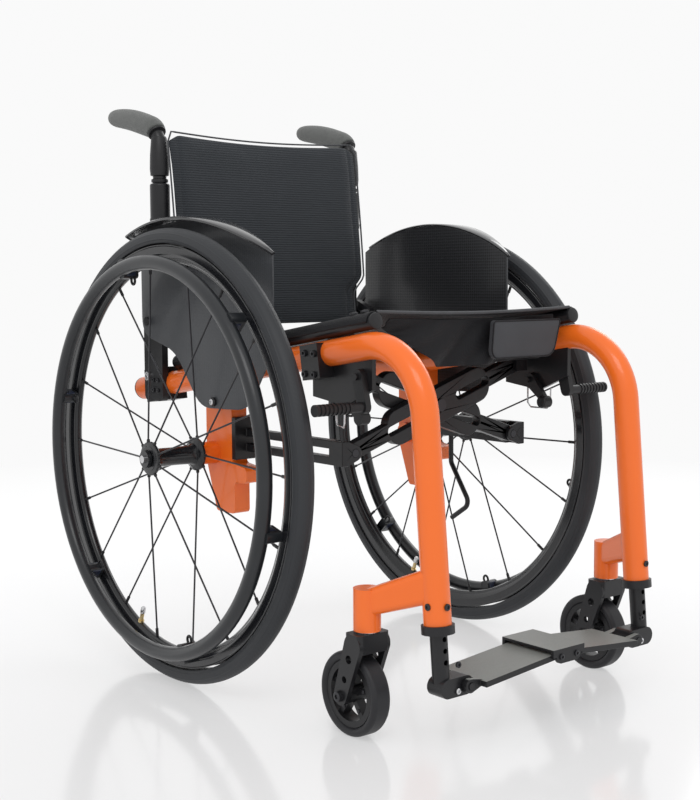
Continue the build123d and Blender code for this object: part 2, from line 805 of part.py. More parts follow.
def brace_bracket(side):
    """Forked bar that runs forward from the axle post to the brace's lower pivot."""
    ears = clevis_ears(side)
    post_inner = frame_half - post_half
    fork_x = post_inner + bar_overlap
    bars_x = post_inner - bar_overlap
    bars_rear = post_front_y - bracket_foot_thickness
    with BuildPart() as bracket:
        for front, rear in ears:
            with BuildSketch(front_plane(rear)):
                with Locations((pivot_x, pivot_z)):
                    Circle(2 * pin_radius)
                with Locations((fork_x, pivot_z)):
                    Rectangle(bar_height, 3 * bar_height)
                make_hull()
            extrude(amount=rear - front)
        with BuildSketch(front_plane(ears[1][1])):
            with Locations((fork_x + bar_height / 2 - ear_back_width / 2, pivot_z)):
                Rectangle(ear_back_width, 3 * bar_height)
        extrude(amount=ears[1][1] - ears[0][0])
        with BuildSketch(front_plane(bars_rear)):
            with Locations((bars_x, pivot_z - bar_height), (bars_x, pivot_z + bar_height)):
                Rectangle(bar_width, bar_height)
        extrude(amount=bars_rear - ears[1][0])
        with BuildSketch(front_plane(post_front_y - seat_fit)):
            with Locations((post_inner + bracket_foot_width / 4, pivot_z + bracket_foot_lift)):
                Rectangle(bracket_foot_width, bracket_foot_height)
        extrude(amount=bracket_foot_thickness - seat_fit)
        pin_y(pivot_x, pivot_z, pin_radius + running_fit, ears[0][0], ears[1][1], Mode.SUBTRACT)
    return mirrored_to(bracket.part, side)


def mirrored_to(part, side):
    """The part itself on the left, its mirror image on the right."""
    return part if side > 0 else mirror(part, about=Plane.YZ)


def seat_rail(side):
    """Seat rail with the hanger that the opposite arm carries."""
    ears = clevis_ears(-side)
    rear_point = Vector(rail_x, rail_rear_y, rail_z(rail_rear_y))
    front_point = Vector(rail_x, rail_front_y, rail_z(rail_front_y))
    along = (front_point - rear_point).normalized()
    leg_top = rail_z(ears[1][1]) - hanger_wall
    leg_low = leg_top - hanger_leg
    low_z = upper_pivot_z - 2 * pin_radius - hanger_wall
    with BuildPart() as rail:
        with BuildSketch(Plane(origin=rear_point, z_dir=along)):
            Circle(rail_radius)
        extrude(amount=(front_point - rear_point).length)
        with BuildSketch(front_plane(ears[1][1])):
            with BuildLine():
                Polyline(
                    (hanger_inner_x, low_z),
                    (hanger_outer_x, low_z),
                    (hanger_outer_x, leg_low),
                    (rail_x, leg_low),
                    (rail_x, leg_top),
                    (hanger_inner_x, leg_top),
                    close=True,
                )
            make_face()
        extrude(amount=ears[1][1] - ears[0][0])
        with BuildSketch(front_plane(ears[1][0])):
            with Locations((pivot_x, upper_pivot_z)):
                Rectangle(hanger_slot_width, 2 * (arm_eye_radius + hanger_slot_margin))
        extrude(amount=ears[1][0] - ears[0][1], mode=Mode.SUBTRACT)
        with BuildSketch(Plane(origin=rear_point, z_dir=along)):
            Circle(rail_radius - rail_wall)
        extrude(amount=(front_point - rear_point).length, mode=Mode.SUBTRACT)
        pin_y(pivot_x, upper_pivot_z, pin_radius + running_fit, ears[0][0], ears[1][1], Mode.SUBTRACT)
    return mirrored_to(rail.part, side)


# ------------------------------------------------------------------ rear wheels
def wheel_plane():
    """Sketch points are (x, z) in the vertical plane of the axle."""
    return front_plane(0)


def rim():
    """Deep rim with a channel for the tyre."""
    edge = rim_seat_radius + rim_edge_height
    channel = rim_half_width - rim_wall
    half = [
        (rim_nose_half, rim_inner_radius),
        (rim_half_width, rim_inner_radius + rim_bevel),
        (rim_half_width, edge),
        (channel, edge),
        (channel, rim_seat_radius),
    ]
    outline = half + [(-x, r) for x, r in reversed(half)]
    with BuildPart() as ring:
        with BuildSketch(wheel_plane()):
            with BuildLine():
                Polyline(*[(track_half + x, wheel_radius + r) for x, r in outline], close=True)
            make_face()
        revolve(axis=wheel_axis())
    return ring.part


def tyre():
    """Tyre seated in the rim's channel."""
    edge = rim_seat_radius + rim_edge_height
    channel = rim_half_width - rim_wall - seat_fit
    middle = wheel_radius - tyre_width / 2
    with BuildPart() as ring:
        with BuildSketch(wheel_plane()):
            with Locations((track_half, wheel_radius + middle)):
                Circle(tyre_width / 2)
            with Locations((track_half, wheel_radius + rim_seat_radius + seat_fit - tyre_width)):
                Rectangle(2 * tyre_width, 2 * tyre_width, mode=Mode.SUBTRACT)
            for side in (-1, 1):
                wall_middle = track_half + side * (channel + tyre_width / 2)
                with Locations((wall_middle, wheel_radius + edge + seat_fit - tyre_width / 2)):
                    Rectangle(tyre_width, tyre_width, mode=Mode.SUBTRACT)
        revolve(axis=wheel_axis())
    return ring.part


def hub():
    """Hub shell with its two bearings pressed in."""
    inner = hub_inner_x - hub_nose
    outer = hub_outer_x + hub_nose
    half_flange = hub_flange_thickness / 2
    outer_low = outer - hub_bearing_width
    with BuildPart() as shell:
        pin_x(0, wheel_radius, hub_barrel_radius, inner, outer)
        for x in (hub_inner_x, hub_outer_x):
            pin_x(0, wheel_radius, hub_flange_radius, x - half_flange, x + half_flange)
        pin_x(0, wheel_radius, axle_radius + hub_bore_gap, inner, outer, Mode.SUBTRACT)
        for low in (inner, outer_low):
            pin_x(0, wheel_radius, hub_bearing_radius, low, low + hub_bearing_width, Mode.SUBTRACT)
        for low in (inner, outer_low + seat_fit):
            high = low + hub_bearing_width - seat_fit
            pin_x(0, wheel_radius, hub_bearing_radius - seat_fit, low, high)
            pin_x(0, wheel_radius, axle_radius + running_fit, low, high, Mode.SUBTRACT)
    return shell.part


def spokes():
    """Straight spokes, by turns from the inner and the outer flange."""
    with BuildPart() as wires:
        for index in range(spoke_count):
            angle = radians(spoke_first_angle + 360.0 / spoke_count * index)
            flange_x = hub_inner_x if index % 2 else hub_outer_x
            away = Vector(0, sin(angle), cos(angle))
            middle = Vector(0, 0, wheel_radius)
            start = middle + away * (hub_flange_radius + body_gap) + Vector(flange_x, 0, 0)
            end = middle + away * (rim_inner_radius - body_gap) + Vector(track_half, 0, 0)
            with BuildSketch(Plane(origin=start, z_dir=end - start)):
                Circle(spoke_radius)
            extrude(amount=(end - start).length)
    return wires.part


def handrim():
    """Push ring with its welded tabs."""
    rim_side = track_half + rim_half_width + seat_fit
    tab_low = rim_inner_radius - tab_inward
    tab_high = rim_inner_radius + tab_outward
    with BuildPart() as ring:
        with BuildSketch(wheel_plane()):
            with Locations((handrim_x, wheel_radius + handrim_radius)):
                Circle(handrim_tube_radius)
        revolve(axis=wheel_axis())
        for index in range(tab_count):
            angle = radians(tab_first_angle + 360.0 / tab_count * index)
            away = Vector(0, -sin(angle), cos(angle))
            base = Plane(origin=(rim_side, 0, wheel_radius), x_dir=away, z_dir=(1, 0, 0))
            with BuildSketch(base):
                with Locations(((tab_low + tab_high) / 2, 0)):
                    RectangleRounded(tab_high - tab_low, tab_width, tab_corner)
            extrude(amount=handrim_x - rim_side)
    return ring.part


def axle_pin():
    """Quick-release axle from the hub's outer end into the post."""
    outer = hub_outer_x + hub_nose + body_gap
    with BuildPart() as pin:
        pin_x(0, wheel_radius, axle_radius, frame_half - post_half, outer)
        pin_x(0, wheel_radius, axle_head_radius, outer, outer + axle_head_thickness)
        seat = outer + button_seat
        end = outer + axle_head_thickness
        bore_end = outer - button_bore_length
        pin_x(0, wheel_radius, button_radius + running_fit, seat, end, Mode.SUBTRACT)
        pin_x(0, wheel_radius, button_stem_radius + running_fit, bore_end, seat, Mode.SUBTRACT)
    return pin.part


def axle_button():
    """Push button that frees the axle."""
    outer = hub_outer_x + hub_nose + body_gap
    low = outer + button_seat + button_travel + body_gap
    with BuildPart() as button:
        pin_x(0, wheel_radius, button_radius, low, outer + axle_head_thickness + button_travel)
        pin_x(0, wheel_radius, button_stem_radius, outer - button_stem_length, low)
    return button.part


# ------------------------------------------------------------------ casters
def caster_fork():
    """Fork with its stem, two cut-out arms and the crown between them."""
    crown_low = 2 * caster_radius + crown_clearance
    crown_high = head_bottom_z - washer_gap
    outer = fork_gap + fork_plate
    axle_place = (head_y + caster_trail, caster_radius)
    with BuildPart() as fork:
        for x_from in (head_x - outer, head_x + fork_gap):
            with BuildSketch(side_plane(x_from)):
                with Locations((head_y, crown_high - fork_width / 2)):
                    Circle(fork_width / 2)
                with Locations(axle_place):
                    Circle(fork_foot_radius)
                make_hull()
                for behind, height, radius in fork_windows:
                    with Locations((head_y + behind, height)):
                        Circle(radius, mode=Mode.SUBTRACT)
                with Locations(axle_place):
                    Circle(caster_axle_radius + seat_fit, mode=Mode.SUBTRACT)
            extrude(amount=fork_plate)
        with BuildSketch(Plane.XY.offset(crown_low)):
            with Locations((head_x, head_y)):
                RectangleRounded(2 * outer, fork_width, fork_crown_round)
        extrude(amount=crown_high - crown_low)
        pin_z(head_x, head_y, stem_radius, crown_high, head_top_z - head_lid - stem_top_gap)
    return fork.part


def caster_axle():
    """Bolt through the fork that carries the caster wheel."""
    reach = fork_gap + fork_plate
    y = head_y + caster_trail
    with BuildPart() as bolt:
        pin_x(y, caster_radius, caster_axle_radius, head_x - reach, head_x + reach)
        for low in (head_x - reach - caster_head_thickness, head_x + reach):
            pin_x(y, caster_radius, caster_head_radius, low, low + caster_head_thickness)
    return bolt.part


def caster_wheel():
    """Open-spoked caster wheel."""
    y = head_y + caster_trail
    ring_half = caster_width / 2 - caster_rim_inset
    spoke_length = caster_rim_radius - caster_felloe
    with BuildPart() as wheel:
        with BuildSketch(side_plane(head_x - ring_half)):
            with Locations((y, caster_radius)):
                Circle(caster_rim_radius)
                Circle(caster_rim_radius - caster_felloe, mode=Mode.SUBTRACT)
        extrude(amount=2 * ring_half)
        with BuildSketch(side_plane(head_x - caster_spoke_half)):
            with Locations((y, caster_radius)):
                with PolarLocations(spoke_length / 2 + caster_spoke_overlap, caster_spokes, 90.0):
                    Rectangle(spoke_length, caster_spoke_width)
        extrude(amount=2 * caster_spoke_half)
        pin_x(y, caster_radius, caster_hub_radius, head_x - caster_hub_half, head_x + caster_hub_half)
        bore = caster_axle_radius + running_fit
        pin_x(y, caster_radius, bore, head_x - caster_hub_half, head_x + caster_hub_half, Mode.SUBTRACT)
    return wheel.part


def caster_tyre():
    """Solid caster tyre with round shoulders."""
    y = head_y + caster_trail
    thickness = caster_radius - caster_rim_radius - seat_fit
    with BuildPart() as ring:
        with BuildSketch(front_plane(y)) as section:
            with Locations((head_x, 2 * caster_radius - thickness / 2)):
                Rectangle(caster_width, thickness)
            fillet(section.vertices().group_by(Axis.Z)[-1], thickness / 2)
        revolve(axis=Axis((0, y, caster_radius), (1, 0, 0)))
    return ring.part


# ------------------------------------------------------------------ soft goods
def seat_sling():
    """Seat fabric between the rails."""
    rear_y = rail_rear_y - seat_end_gap
    front_y = rail_front_y + seat_end_gap
    rise = Vector(0, front_y - rear_y, rail_z(front_y) - rail_z(rear_y))
    half = rail_x - rail_radius - seat_side_gap
    high = rail_radius + seat_lift
    low = high - seat_thickness
    with BuildPart() as sling:
        with BuildSketch(Plane(origin=(0, rear_y, rail_z(rear_y)), x_dir=(1, 0, 0), z_dir=rise)):
            with BuildLine():
                ThreePointArc((-half, high), (0, high - seat_sag), (half, high))
                Line((half, high), (half, low))
                ThreePointArc((half, low), (0, low - seat_sag), (-half, low))
                Line((-half, low), (-half, high))
            make_face()
        extrude(amount=rise.length)
    return sling.part


def back_sling():
    """Padded backrest in front of the back posts, narrower between their brackets."""
    front = list(back_front_line)
    rear = [(y + back_thickness, z) for y, z in reversed(front)]
    low_z = front[-1][1]
    corner = (back_half - back_low_half, 2 * clamp_radius + back_front_line[0][0], back_step_z - low_z)
    with BuildPart() as sling:
        with BuildSketch(side_plane(-back_half)):
            with BuildLine():
                Polyline(*front, *rear, close=True)
            make_face()
        extrude(amount=2 * back_half)
        for side in (-1, 1):
            middle = (side * (back_half + back_low_half) / 2, front[-1][0], (back_step_z + low_z) / 2)
            with Locations(middle):
                Box(*corner, mode=Mode.SUBTRACT)
    return sling.part


def seat_pouch():
    """Flat pouch that hangs from the seat's front edge, on the left."""
    rear = rail_front_y
    top = rail_z(rail_front_y) - pouch_drop
    with BuildPart() as pouch:
        with BuildSketch(front_plane(rear)) as face:
            with Locations(((pouch_from_x + pouch_to_x) / 2, top - pouch_height / 2)):
                Rectangle(pouch_to_x - pouch_from_x, pouch_height)
            fillet(face.vertices().group_by(Axis.Z)[0], pouch_corner)
        extrude(amount=pouch_thickness)
    return pouch.part


def tip_lever():
    """Bent rod below the left bracket, pressed with a foot to tip the chair."""
    top_z = pivot_z - 1.5 * bar_height - tip_rod_top_gap
    with BuildPart() as rod:
        with BuildLine(side_plane(frame_half - post_half - tip_rod_gap)) as line:
            FilletPolyline((tip_rod_route[0][0], top_z), *tip_rod_route, radius=tip_rod_bend)
        with BuildSketch(Plane(origin=line.line @ 0, z_dir=line.line % 0)):
            Circle(tip_rod_radius)
        sweep(path=line.line)
    return rod.part


# ------------------------------------------------------------------ write every piece
paired_pieces = {
    "frame_tube": frame_tube,
    "frame_fittings": frame_fittings,
    "axle_post": axle_post,
    "footrest_tube": footrest_tube,
    "back_bracket": back_bracket,
    "cane": cane,
    "grip": grip,
    "side_guard": side_guard,
    "lock_clamp": lock_clamp,
    "lock_lever": lock_lever,
    "lock_shoe": lock_shoe,
    "rim": rim,
    "tyre": tyre,
    "hub": hub,
    "spokes": spokes,
    "handrim": handrim,
    "axle_pin": axle_pin,
    "axle_button": axle_button,
    "caster_fork": caster_fork,
    "caster_axle": caster_axle,
    "caster_wheel": caster_wheel,
    "caster_tyre": caster_tyre,
}
for piece_name, make_piece in paired_pieces.items():
    save_pair(make_piece(), piece_name)

for side_name, side_sign in (("left", 1), ("right", -1)):
    save(cross_arm(side_sign), f"{side_name}_cross_arm")
    save(brace_pins(side_sign), f"{side_name}_brace_pins")
    save(brace_bracket(side_sign), f"{side_name}_brace_bracket")
    save(seat_rail(side_sign), f"{side_name}_seat_rail")

save(footplate(with_barrel=False), "left_footplate")
save(mirror(footplate(with_barrel=True), about=Plane.YZ), "right_footplate")
save(foot_link(), "foot_link")
save(seat_sling(), "seat_sling")
save(back_sling(), "back_sling")
save(seat_pouch(), "seat_pouch")
save(tip_lever(), "tip_lever")
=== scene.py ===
"""Looks of a folding manual wheelchair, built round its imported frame. Metres; +Z up, front faces -Y."""

import json
import math

import bmesh
import bpy
import numpy as np
from mathutils import Matrix, Vector


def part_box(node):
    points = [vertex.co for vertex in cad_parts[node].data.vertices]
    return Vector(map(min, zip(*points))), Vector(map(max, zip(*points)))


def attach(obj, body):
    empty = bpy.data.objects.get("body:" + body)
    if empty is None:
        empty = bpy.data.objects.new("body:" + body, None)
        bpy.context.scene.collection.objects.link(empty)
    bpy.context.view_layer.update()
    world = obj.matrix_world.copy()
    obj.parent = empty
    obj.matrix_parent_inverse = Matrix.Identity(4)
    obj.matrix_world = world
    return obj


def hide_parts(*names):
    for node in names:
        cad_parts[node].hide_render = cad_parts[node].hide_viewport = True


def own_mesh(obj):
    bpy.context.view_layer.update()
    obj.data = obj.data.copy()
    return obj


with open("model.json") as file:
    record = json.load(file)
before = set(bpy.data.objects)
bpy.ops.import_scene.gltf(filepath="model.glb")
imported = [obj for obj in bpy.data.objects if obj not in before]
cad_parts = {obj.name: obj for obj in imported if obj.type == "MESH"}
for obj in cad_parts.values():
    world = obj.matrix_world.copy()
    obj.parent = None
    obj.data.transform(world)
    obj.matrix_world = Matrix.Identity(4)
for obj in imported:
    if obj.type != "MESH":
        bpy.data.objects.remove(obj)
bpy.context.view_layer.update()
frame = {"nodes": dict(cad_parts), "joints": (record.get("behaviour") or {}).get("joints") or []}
SIDES = (("left", 1), ("right", -1))

# ------------------------------------------------------------------ sizes
CAMERA_PLACE = (-1.16685, -1.40019, 0.52480)
CAMERA_AZIMUTH = -39.37
CAMERA_ELEVATION = 5.13
CAMERA_ROLL = -0.33
CAMERA_LENS = 68.45
SENSOR = 36.0
SURROUND = 0.955            # brightness of the white round the chair

RIM_INNER = 0.2525
SPOKES = 18
SPOKE_CIRCLE = 0.0215       # radius of the spokes' seats on the hub
SPOKE_FIRST = 10.0          # degrees from the vertical
TABS = 6
TAB_FIRST = 45.0
FERRULE_LENGTH = 0.012
FERRULE_RADIUS = 0.0021
EYE_RADIUS = 0.0052
VALVE_ANGLE = -160.0        # degrees from the top, towards the front

GUARD_FRONT = -0.165        # from the axle
GUARD_REAR = 0.146
FENDER_FRONT = 32.6         # degrees from the top
FENDER_REAR = -26.0

BACK_THICKNESS = 0.011
BACK_CAP = 0.003
SEAT_SAG = 0.016
SEAT_CLOTH = 0.0022
FRONT_SAG = 0.004
APRON_DEPTH = 0.062
APRON_DROP = 0.006
SEED = 11


# ------------------------------------------------------------------ places read from the frame
def joint_place(name):
    """Where a joint's axis passes."""
    found = [j for j in frame["joints"] if j["name"] == name]
    return Vector(found[0]["pos_m"])


AXLE = joint_place("left_wheel_spin")
WHEEL_RADIUS = AXLE.z
TRACK = AXLE.x
CANE = joint_place("left_back_fold")


# ------------------------------------------------------------------ materials
def noise_texture(nodes, links, coords, scale, detail=3.0):
    texture = nodes.new("ShaderNodeTexNoise")
    texture.inputs["Scale"].default_value = scale
    texture.inputs["Detail"].default_value = detail
    links.new(coords.outputs["Object"], texture.inputs["Vector"])
    return texture.outputs["Fac"]


def band_texture(nodes, links, coords, direction, pitch, distortion=0.0):
    """Parallel ridges along one axis, so far apart."""
    texture = nodes.new("ShaderNodeTexWave")
    texture.bands_direction = direction
    texture.inputs["Scale"].default_value = math.pi / 10 / pitch
    texture.inputs["Distortion"].default_value = distortion
    links.new(coords.outputs["Object"], texture.inputs["Vector"])
    return texture.outputs["Fac"]


def blend_colours(nodes, links, factor, first, second):
    """Mix node between two colours or colour sockets."""
    mix = nodes.new("ShaderNodeMix")
    mix.data_type = "RGBA"
    links.new(factor, mix.inputs["Factor"])
    for name, value in (("A", first), ("B", second)):
        socket = [s for s in mix.inputs if s.name == name and s.type == "RGBA"][0]
        if isinstance(value, bpy.types.NodeSocket):
            links.new(value, socket)
        else:
            socket.default_value = (*value, 1.0)
    return [s for s in mix.outputs if s.type == "RGBA"][0]


def add_bump(nodes, links, bsdf, height, distance, strength=1.0):
    """Bump on top of whatever bump the shader already has."""
    bump = nodes.new("ShaderNodeBump")
    bump.inputs["Distance"].default_value = distance
    bump.inputs["Strength"].default_value = strength
    links.new(height, bump.inputs["Height"])
    normal = bsdf.inputs["Normal"]
    if normal.is_linked:
        links.new(normal.links[0].from_socket, bump.inputs["Normal"])
    links.new(bump.outputs["Normal"], normal)


def surface(name, dark, light, roughness, metallic=0.0, mottle=30.0, grain=1500.0, depth=0.00004, **sockets):
    """Surface whose colour drifts between two tones and whose face has a fine grain."""
    made = bpy.data.materials.new(name)
    made.use_nodes = True
    nodes, links = made.node_tree.nodes, made.node_tree.links
    bsdf = nodes["Principled BSDF"]
    bsdf.inputs["Metallic"].default_value = metallic
    bsdf.inputs["Roughness"].default_value = roughness
    for socket, value in sockets.items():
        bsdf.inputs[socket.replace("_", " ")].default_value = value
    coords = nodes.new("ShaderNodeTexCoord")
    tone = noise_texture(nodes, links, coords, mottle)
    links.new(blend_colours(nodes, links, tone, dark, light), bsdf.inputs["Base Color"])
    add_bump(nodes, links, bsdf, noise_texture(nodes, links, coords, grain), depth)
    return made


def parts_of(made):
    """Nodes that a material's own function goes on from."""
    nodes = made.node_tree.nodes
    coords = [n for n in nodes if n.bl_idname == "ShaderNodeTexCoord"][0]
    return nodes, made.node_tree.links, nodes["Principled BSDF"], coords


def grip_foam():
    """Open foam with small pores."""
    made = surface("grip_foam", (0.070, 0.073, 0.071), (0.115, 0.120, 0.114), 0.88, mottle=160.0,
                   grain=1900.0, depth=0.00030, Sheen_Weight=0.25)
    nodes, links, bsdf, coords = parts_of(made)
    add_bump(nodes, links, bsdf, noise_texture(nodes, links, coords, 620.0), 0.00035)
    return made


def seat_fabric():
    """Plain woven nylon."""
    made = surface("seat_fabric", (0.0045, 0.0045, 0.006), (0.009, 0.009, 0.011), 0.55, mottle=22.0,
                   grain=2400.0, depth=0.00006, Sheen_Weight=0.04, Specular_IOR_Level=0.22)
    nodes, links, bsdf, coords = parts_of(made)
    add_bump(nodes, links, bsdf, band_texture(nodes, links, coords, "X", 0.0011), 0.00010)
    add_bump(nodes, links, bsdf, band_texture(nodes, links, coords, "Y", 0.0011), 0.00010)
    return made


def back_fabric():
    """Ribbed spacer knit: ribs across, finer wales up."""
    made = surface("back_fabric", (0.030, 0.034, 0.040), (0.044, 0.049, 0.056), 0.85, mottle=16.0,
                   grain=2400.0, depth=0.00008, Sheen_Weight=0.12, Specular_IOR_Level=0.2)
    nodes, links, bsdf, coords = parts_of(made)
    ribs = band_texture(nodes, links, coords, "Z", 0.0034, distortion=0.8)
    wales = band_texture(nodes, links, coords, "X", 0.0017)
    base = bsdf.inputs["Base Color"].links[0].from_socket
    links.new(blend_colours(nodes, links, ribs, (0.026, 0.029, 0.033), base), bsdf.inputs["Base Color"])
    add_bump(nodes, links, bsdf, ribs, 0.00045)
    add_bump(nodes, links, bsdf, wales, 0.00018)
    return made


def hem_tape():
    """Grosgrain binding along the seat's front edge."""
    made = surface("hem_tape", (0.034, 0.036, 0.040), (0.056, 0.058, 0.064), 0.75, mottle=80.0,
                   Sheen_Weight=0.10)
    nodes, links, bsdf, coords = parts_of(made)
    add_bump(nodes, links, bsdf, band_texture(nodes, links, coords, "X", 0.0014), 0.00015)
    return made


def pouch_fabric():
    made = surface("pouch_fabric", (0.038, 0.040, 0.045), (0.054, 0.056, 0.062), 0.6, mottle=20.0,
                   Sheen_Weight=0.08, Specular_IOR_Level=0.25)
    nodes, links, bsdf, coords = parts_of(made)
    add_bump(nodes, links, bsdf, band_texture(nodes, links, coords, "X", 0.0009), 0.00008)
    add_bump(nodes, links, bsdf, band_texture(nodes, links, coords, "Z", 0.0009), 0.00008)
    return made


def footplate_grey():
    """Moulded plate: pale grained top, dark edges."""
    made = surface("footplate_grey", (0.008, 0.008, 0.009), (0.014, 0.014, 0.016), 0.42, grain=1100.0,
                   depth=0.00015, Specular_IOR_Level=0.35)
    nodes, links, bsdf, coords = parts_of(made)
    parts = nodes.new("ShaderNodeSeparateXYZ")
    links.new(coords.outputs["Normal"], parts.inputs["Vector"])
    upward = nodes.new("ShaderNodeMapRange")
    upward.inputs["From Min"].default_value = 0.90
    upward.inputs["From Max"].default_value = 0.98
    links.new(parts.outputs["Z"], upward.inputs["Value"])
    side = bsdf.inputs["Base Color"].links[0].from_socket
    top = blend_colours(nodes, links, noise_texture(nodes, links, coords, 260.0), (0.200, 0.208, 0.198),
                        (0.240, 0.248, 0.236))
    links.new(blend_colours(nodes, links, upward.outputs["Result"], side, top), bsdf.inputs["Base Color"])
    return made


def guard_carbon(name, inward):
    """Twill weave on the side that faces the seat, satin grey outside. inward is the sign of X there."""
    made = surface(name, (0.043, 0.046, 0.051), (0.057, 0.060, 0.066), 0.38, mottle=12.0, grain=1500.0,
                   depth=0.00004, Coat_Weight=0.12, Coat_Roughness=0.12, Specular_IOR_Level=0.30)
    nodes, links, bsdf, coords = parts_of(made)
    parts = nodes.new("ShaderNodeSeparateXYZ")
    links.new(coords.outputs["Normal"], parts.inputs["Vector"])
    inside = nodes.new("ShaderNodeMapRange")
    inside.inputs["From Min"].default_value = 0.4 * inward
    inside.inputs["From Max"].default_value = 0.6 * inward
    links.new(parts.outputs["X"], inside.inputs["Value"])
    weave = nodes.new("ShaderNodeTexChecker")
    weave.inputs["Scale"].default_value = 330.0
    weave.inputs["Color1"].default_value = (0.008, 0.008, 0.009, 1)
    weave.inputs["Color2"].default_value = (0.022, 0.023, 0.026, 1)
    turned = nodes.new("ShaderNodeMapping")
    turned.inputs["Rotation"].default_value = (math.radians(45), 0, 0)
    links.new(coords.outputs["Object"], turned.inputs["Vector"])
    links.new(turned.outputs["Vector"], weave.inputs["Vector"])
    outer = bsdf.inputs["Base Color"].links[0].from_socket
    colour = blend_colours(nodes, links, inside.outputs["Result"], outer, weave.outputs["Color"])
    links.new(colour, bsdf.inputs["Base Color"])
    add_bump(nodes, links, bsdf, weave.outputs["Fac"], 0.00006)
    return made


# Gloss powder coat with a faint orange peel under a clear coat
ORANGE = surface("orange_paint", (0.82, 0.138, 0.009), (0.86, 0.160, 0.014), 0.34, mottle=9.0,
                 grain=420.0, depth=0.00003, Coat_Weight=0.35, Coat_Roughness=0.08,
                 Specular_IOR_Level=0.35)
ANODISED = surface("black_anodised", (0.007, 0.007, 0.008), (0.013, 0.013, 0.015), 0.36, grain=2200.0,
                   depth=0.00003, Coat_Weight=0.10, Coat_Roughness=0.2, Specular_IOR_Level=0.32)
# Polished black of the rims and hubs
GLOSS = surface("gloss_black", (0.006, 0.006, 0.008), (0.011, 0.012, 0.014), 0.22, grain=900.0,
                depth=0.00001, Coat_Weight=0.3, Coat_Roughness=0.08, Specular_IOR_Level=0.35)
HANDRIM = surface("handrim_black", (0.009, 0.010, 0.012), (0.015, 0.017, 0.020), 0.34, grain=2600.0,
                  depth=0.00003, Coat_Weight=0.25, Coat_Roughness=0.20, Specular_IOR_Level=0.35)
# Moulded nylon with a spark-eroded grain
MOULDED = surface("moulded_black", (0.008, 0.008, 0.009), (0.015, 0.015, 0.017), 0.42, grain=1300.0,
                  depth=0.00012, Specular_IOR_Level=0.35)
# Lacquered moulding that takes a sharp highlight along its crown
FENDER = surface("fender_gloss", (0.018, 0.018, 0.020), (0.028, 0.028, 0.031), 0.20, mottle=8.0,
                 grain=700.0, depth=0.00001, Coat_Weight=0.7, Coat_Roughness=0.05)
# Bluish black of the push ring's tabs
TAB = surface("tab_blue", (0.014, 0.018, 0.035), (0.025, 0.032, 0.060), 0.28, grain=1200.0, depth=0.00004)
STEEL = surface("bright_steel", (0.50, 0.50, 0.51), (0.68, 0.68, 0.69), 0.24, metallic=1.0, mottle=200.0,
                grain=1800.0, depth=0.00003)
DARK_STEEL = surface("dark_steel", (0.03, 0.03, 0.033), (0.05, 0.05, 0.055), 0.32, metallic=0.7,
                     grain=1800.0)
BRASS = surface("brass", (0.55, 0.42, 0.20), (0.66, 0.52, 0.28), 0.3, metallic=1.0, mottle=150.0)
# Rubber with a fine grain and dusty tone changes
TYRE = surface("tyre_rubber", (0.018, 0.020, 0.023), (0.030, 0.032, 0.036), 0.52, mottle=14.0,
               grain=1700.0, depth=0.00010, Specular_IOR_Level=0.35)
CASTER_TYRE = surface("caster_rubber", (0.012, 0.012, 0.014), (0.020, 0.020, 0.023), 0.48, mottle=40.0,
                      depth=0.00008, Specular_IOR_Level=0.35)
FOAM = grip_foam()
SEAT = seat_fabric()
BACK = back_fabric()
HEM = hem_tape()
POUCH = pouch_fabric()
FOOTPLATE = footplate_grey()
GUARDS = {"left": guard_carbon("guard_left", -1), "right": guard_carbon("guard_right", 1)}

CAD_MATERIALS = {
    "frame_tube": ORANGE, "axle_post": ORANGE, "frame_fittings": MOULDED, "footrest_tube": ANODISED,
    "back_bracket": ANODISED, "cane": ANODISED, "lock_clamp": ANODISED, "lock_lever": MOULDED,
    "lock_shoe": MOULDED, "spokes": DARK_STEEL, "handrim": HANDRIM, "axle_pin": GLOSS, "axle_button": STEEL,
    "caster_fork": ANODISED, "caster_axle": DARK_STEEL, "caster_wheel": MOULDED, "caster_tyre": CASTER_TYRE,
    "cross_arm": ANODISED, "brace_pins": DARK_STEEL, "brace_bracket": ANODISED, "seat_rail": ANODISED,
    "footplate": FOOTPLATE, "foot_link": FOOTPLATE, "tip_lever": ANODISED,
}
BEVELLED = {"axle_post": 0.0025, "back_bracket": 0.0012, "lock_clamp": 0.0010, "lock_lever": 0.0008,
            "cross_arm": 0.0014, "brace_bracket": 0.0010, "footplate": 0.0012, "foot_link": 0.0010,
            "caster_fork": 0.0014, "caster_wheel": 0.0008, "footrest_tube": 0.0008}


def dress_cad_nodes():
    """Materials and softened edges of the CAD nodes that stay in view."""
    for name, thing in frame["nodes"].items():
        side, _, kind = name.partition("_")
        kind = kind if side in ("left", "right") else name
        made = CAD_MATERIALS.get(kind, ANODISED)
        thing.data.materials.clear()
        thing.data.materials.append(made)
        if kind in BEVELLED:
            normals = thing.data.attributes.get("custom_normal")
            if normals:
                thing.data.attributes.remove(normals)
            weld = thing.modifiers.new("weld", "WELD")
            weld.merge_threshold = 0.00002
            bevel = thing.modifiers.new("bevel", "BEVEL")
            bevel.width = BEVELLED[kind]
            bevel.segments = 2
            bevel.limit_method = "ANGLE"
            bevel.angle_limit = math.radians(40)
            thing.modifiers.new("normals", "WEIGHTED_NORMAL")


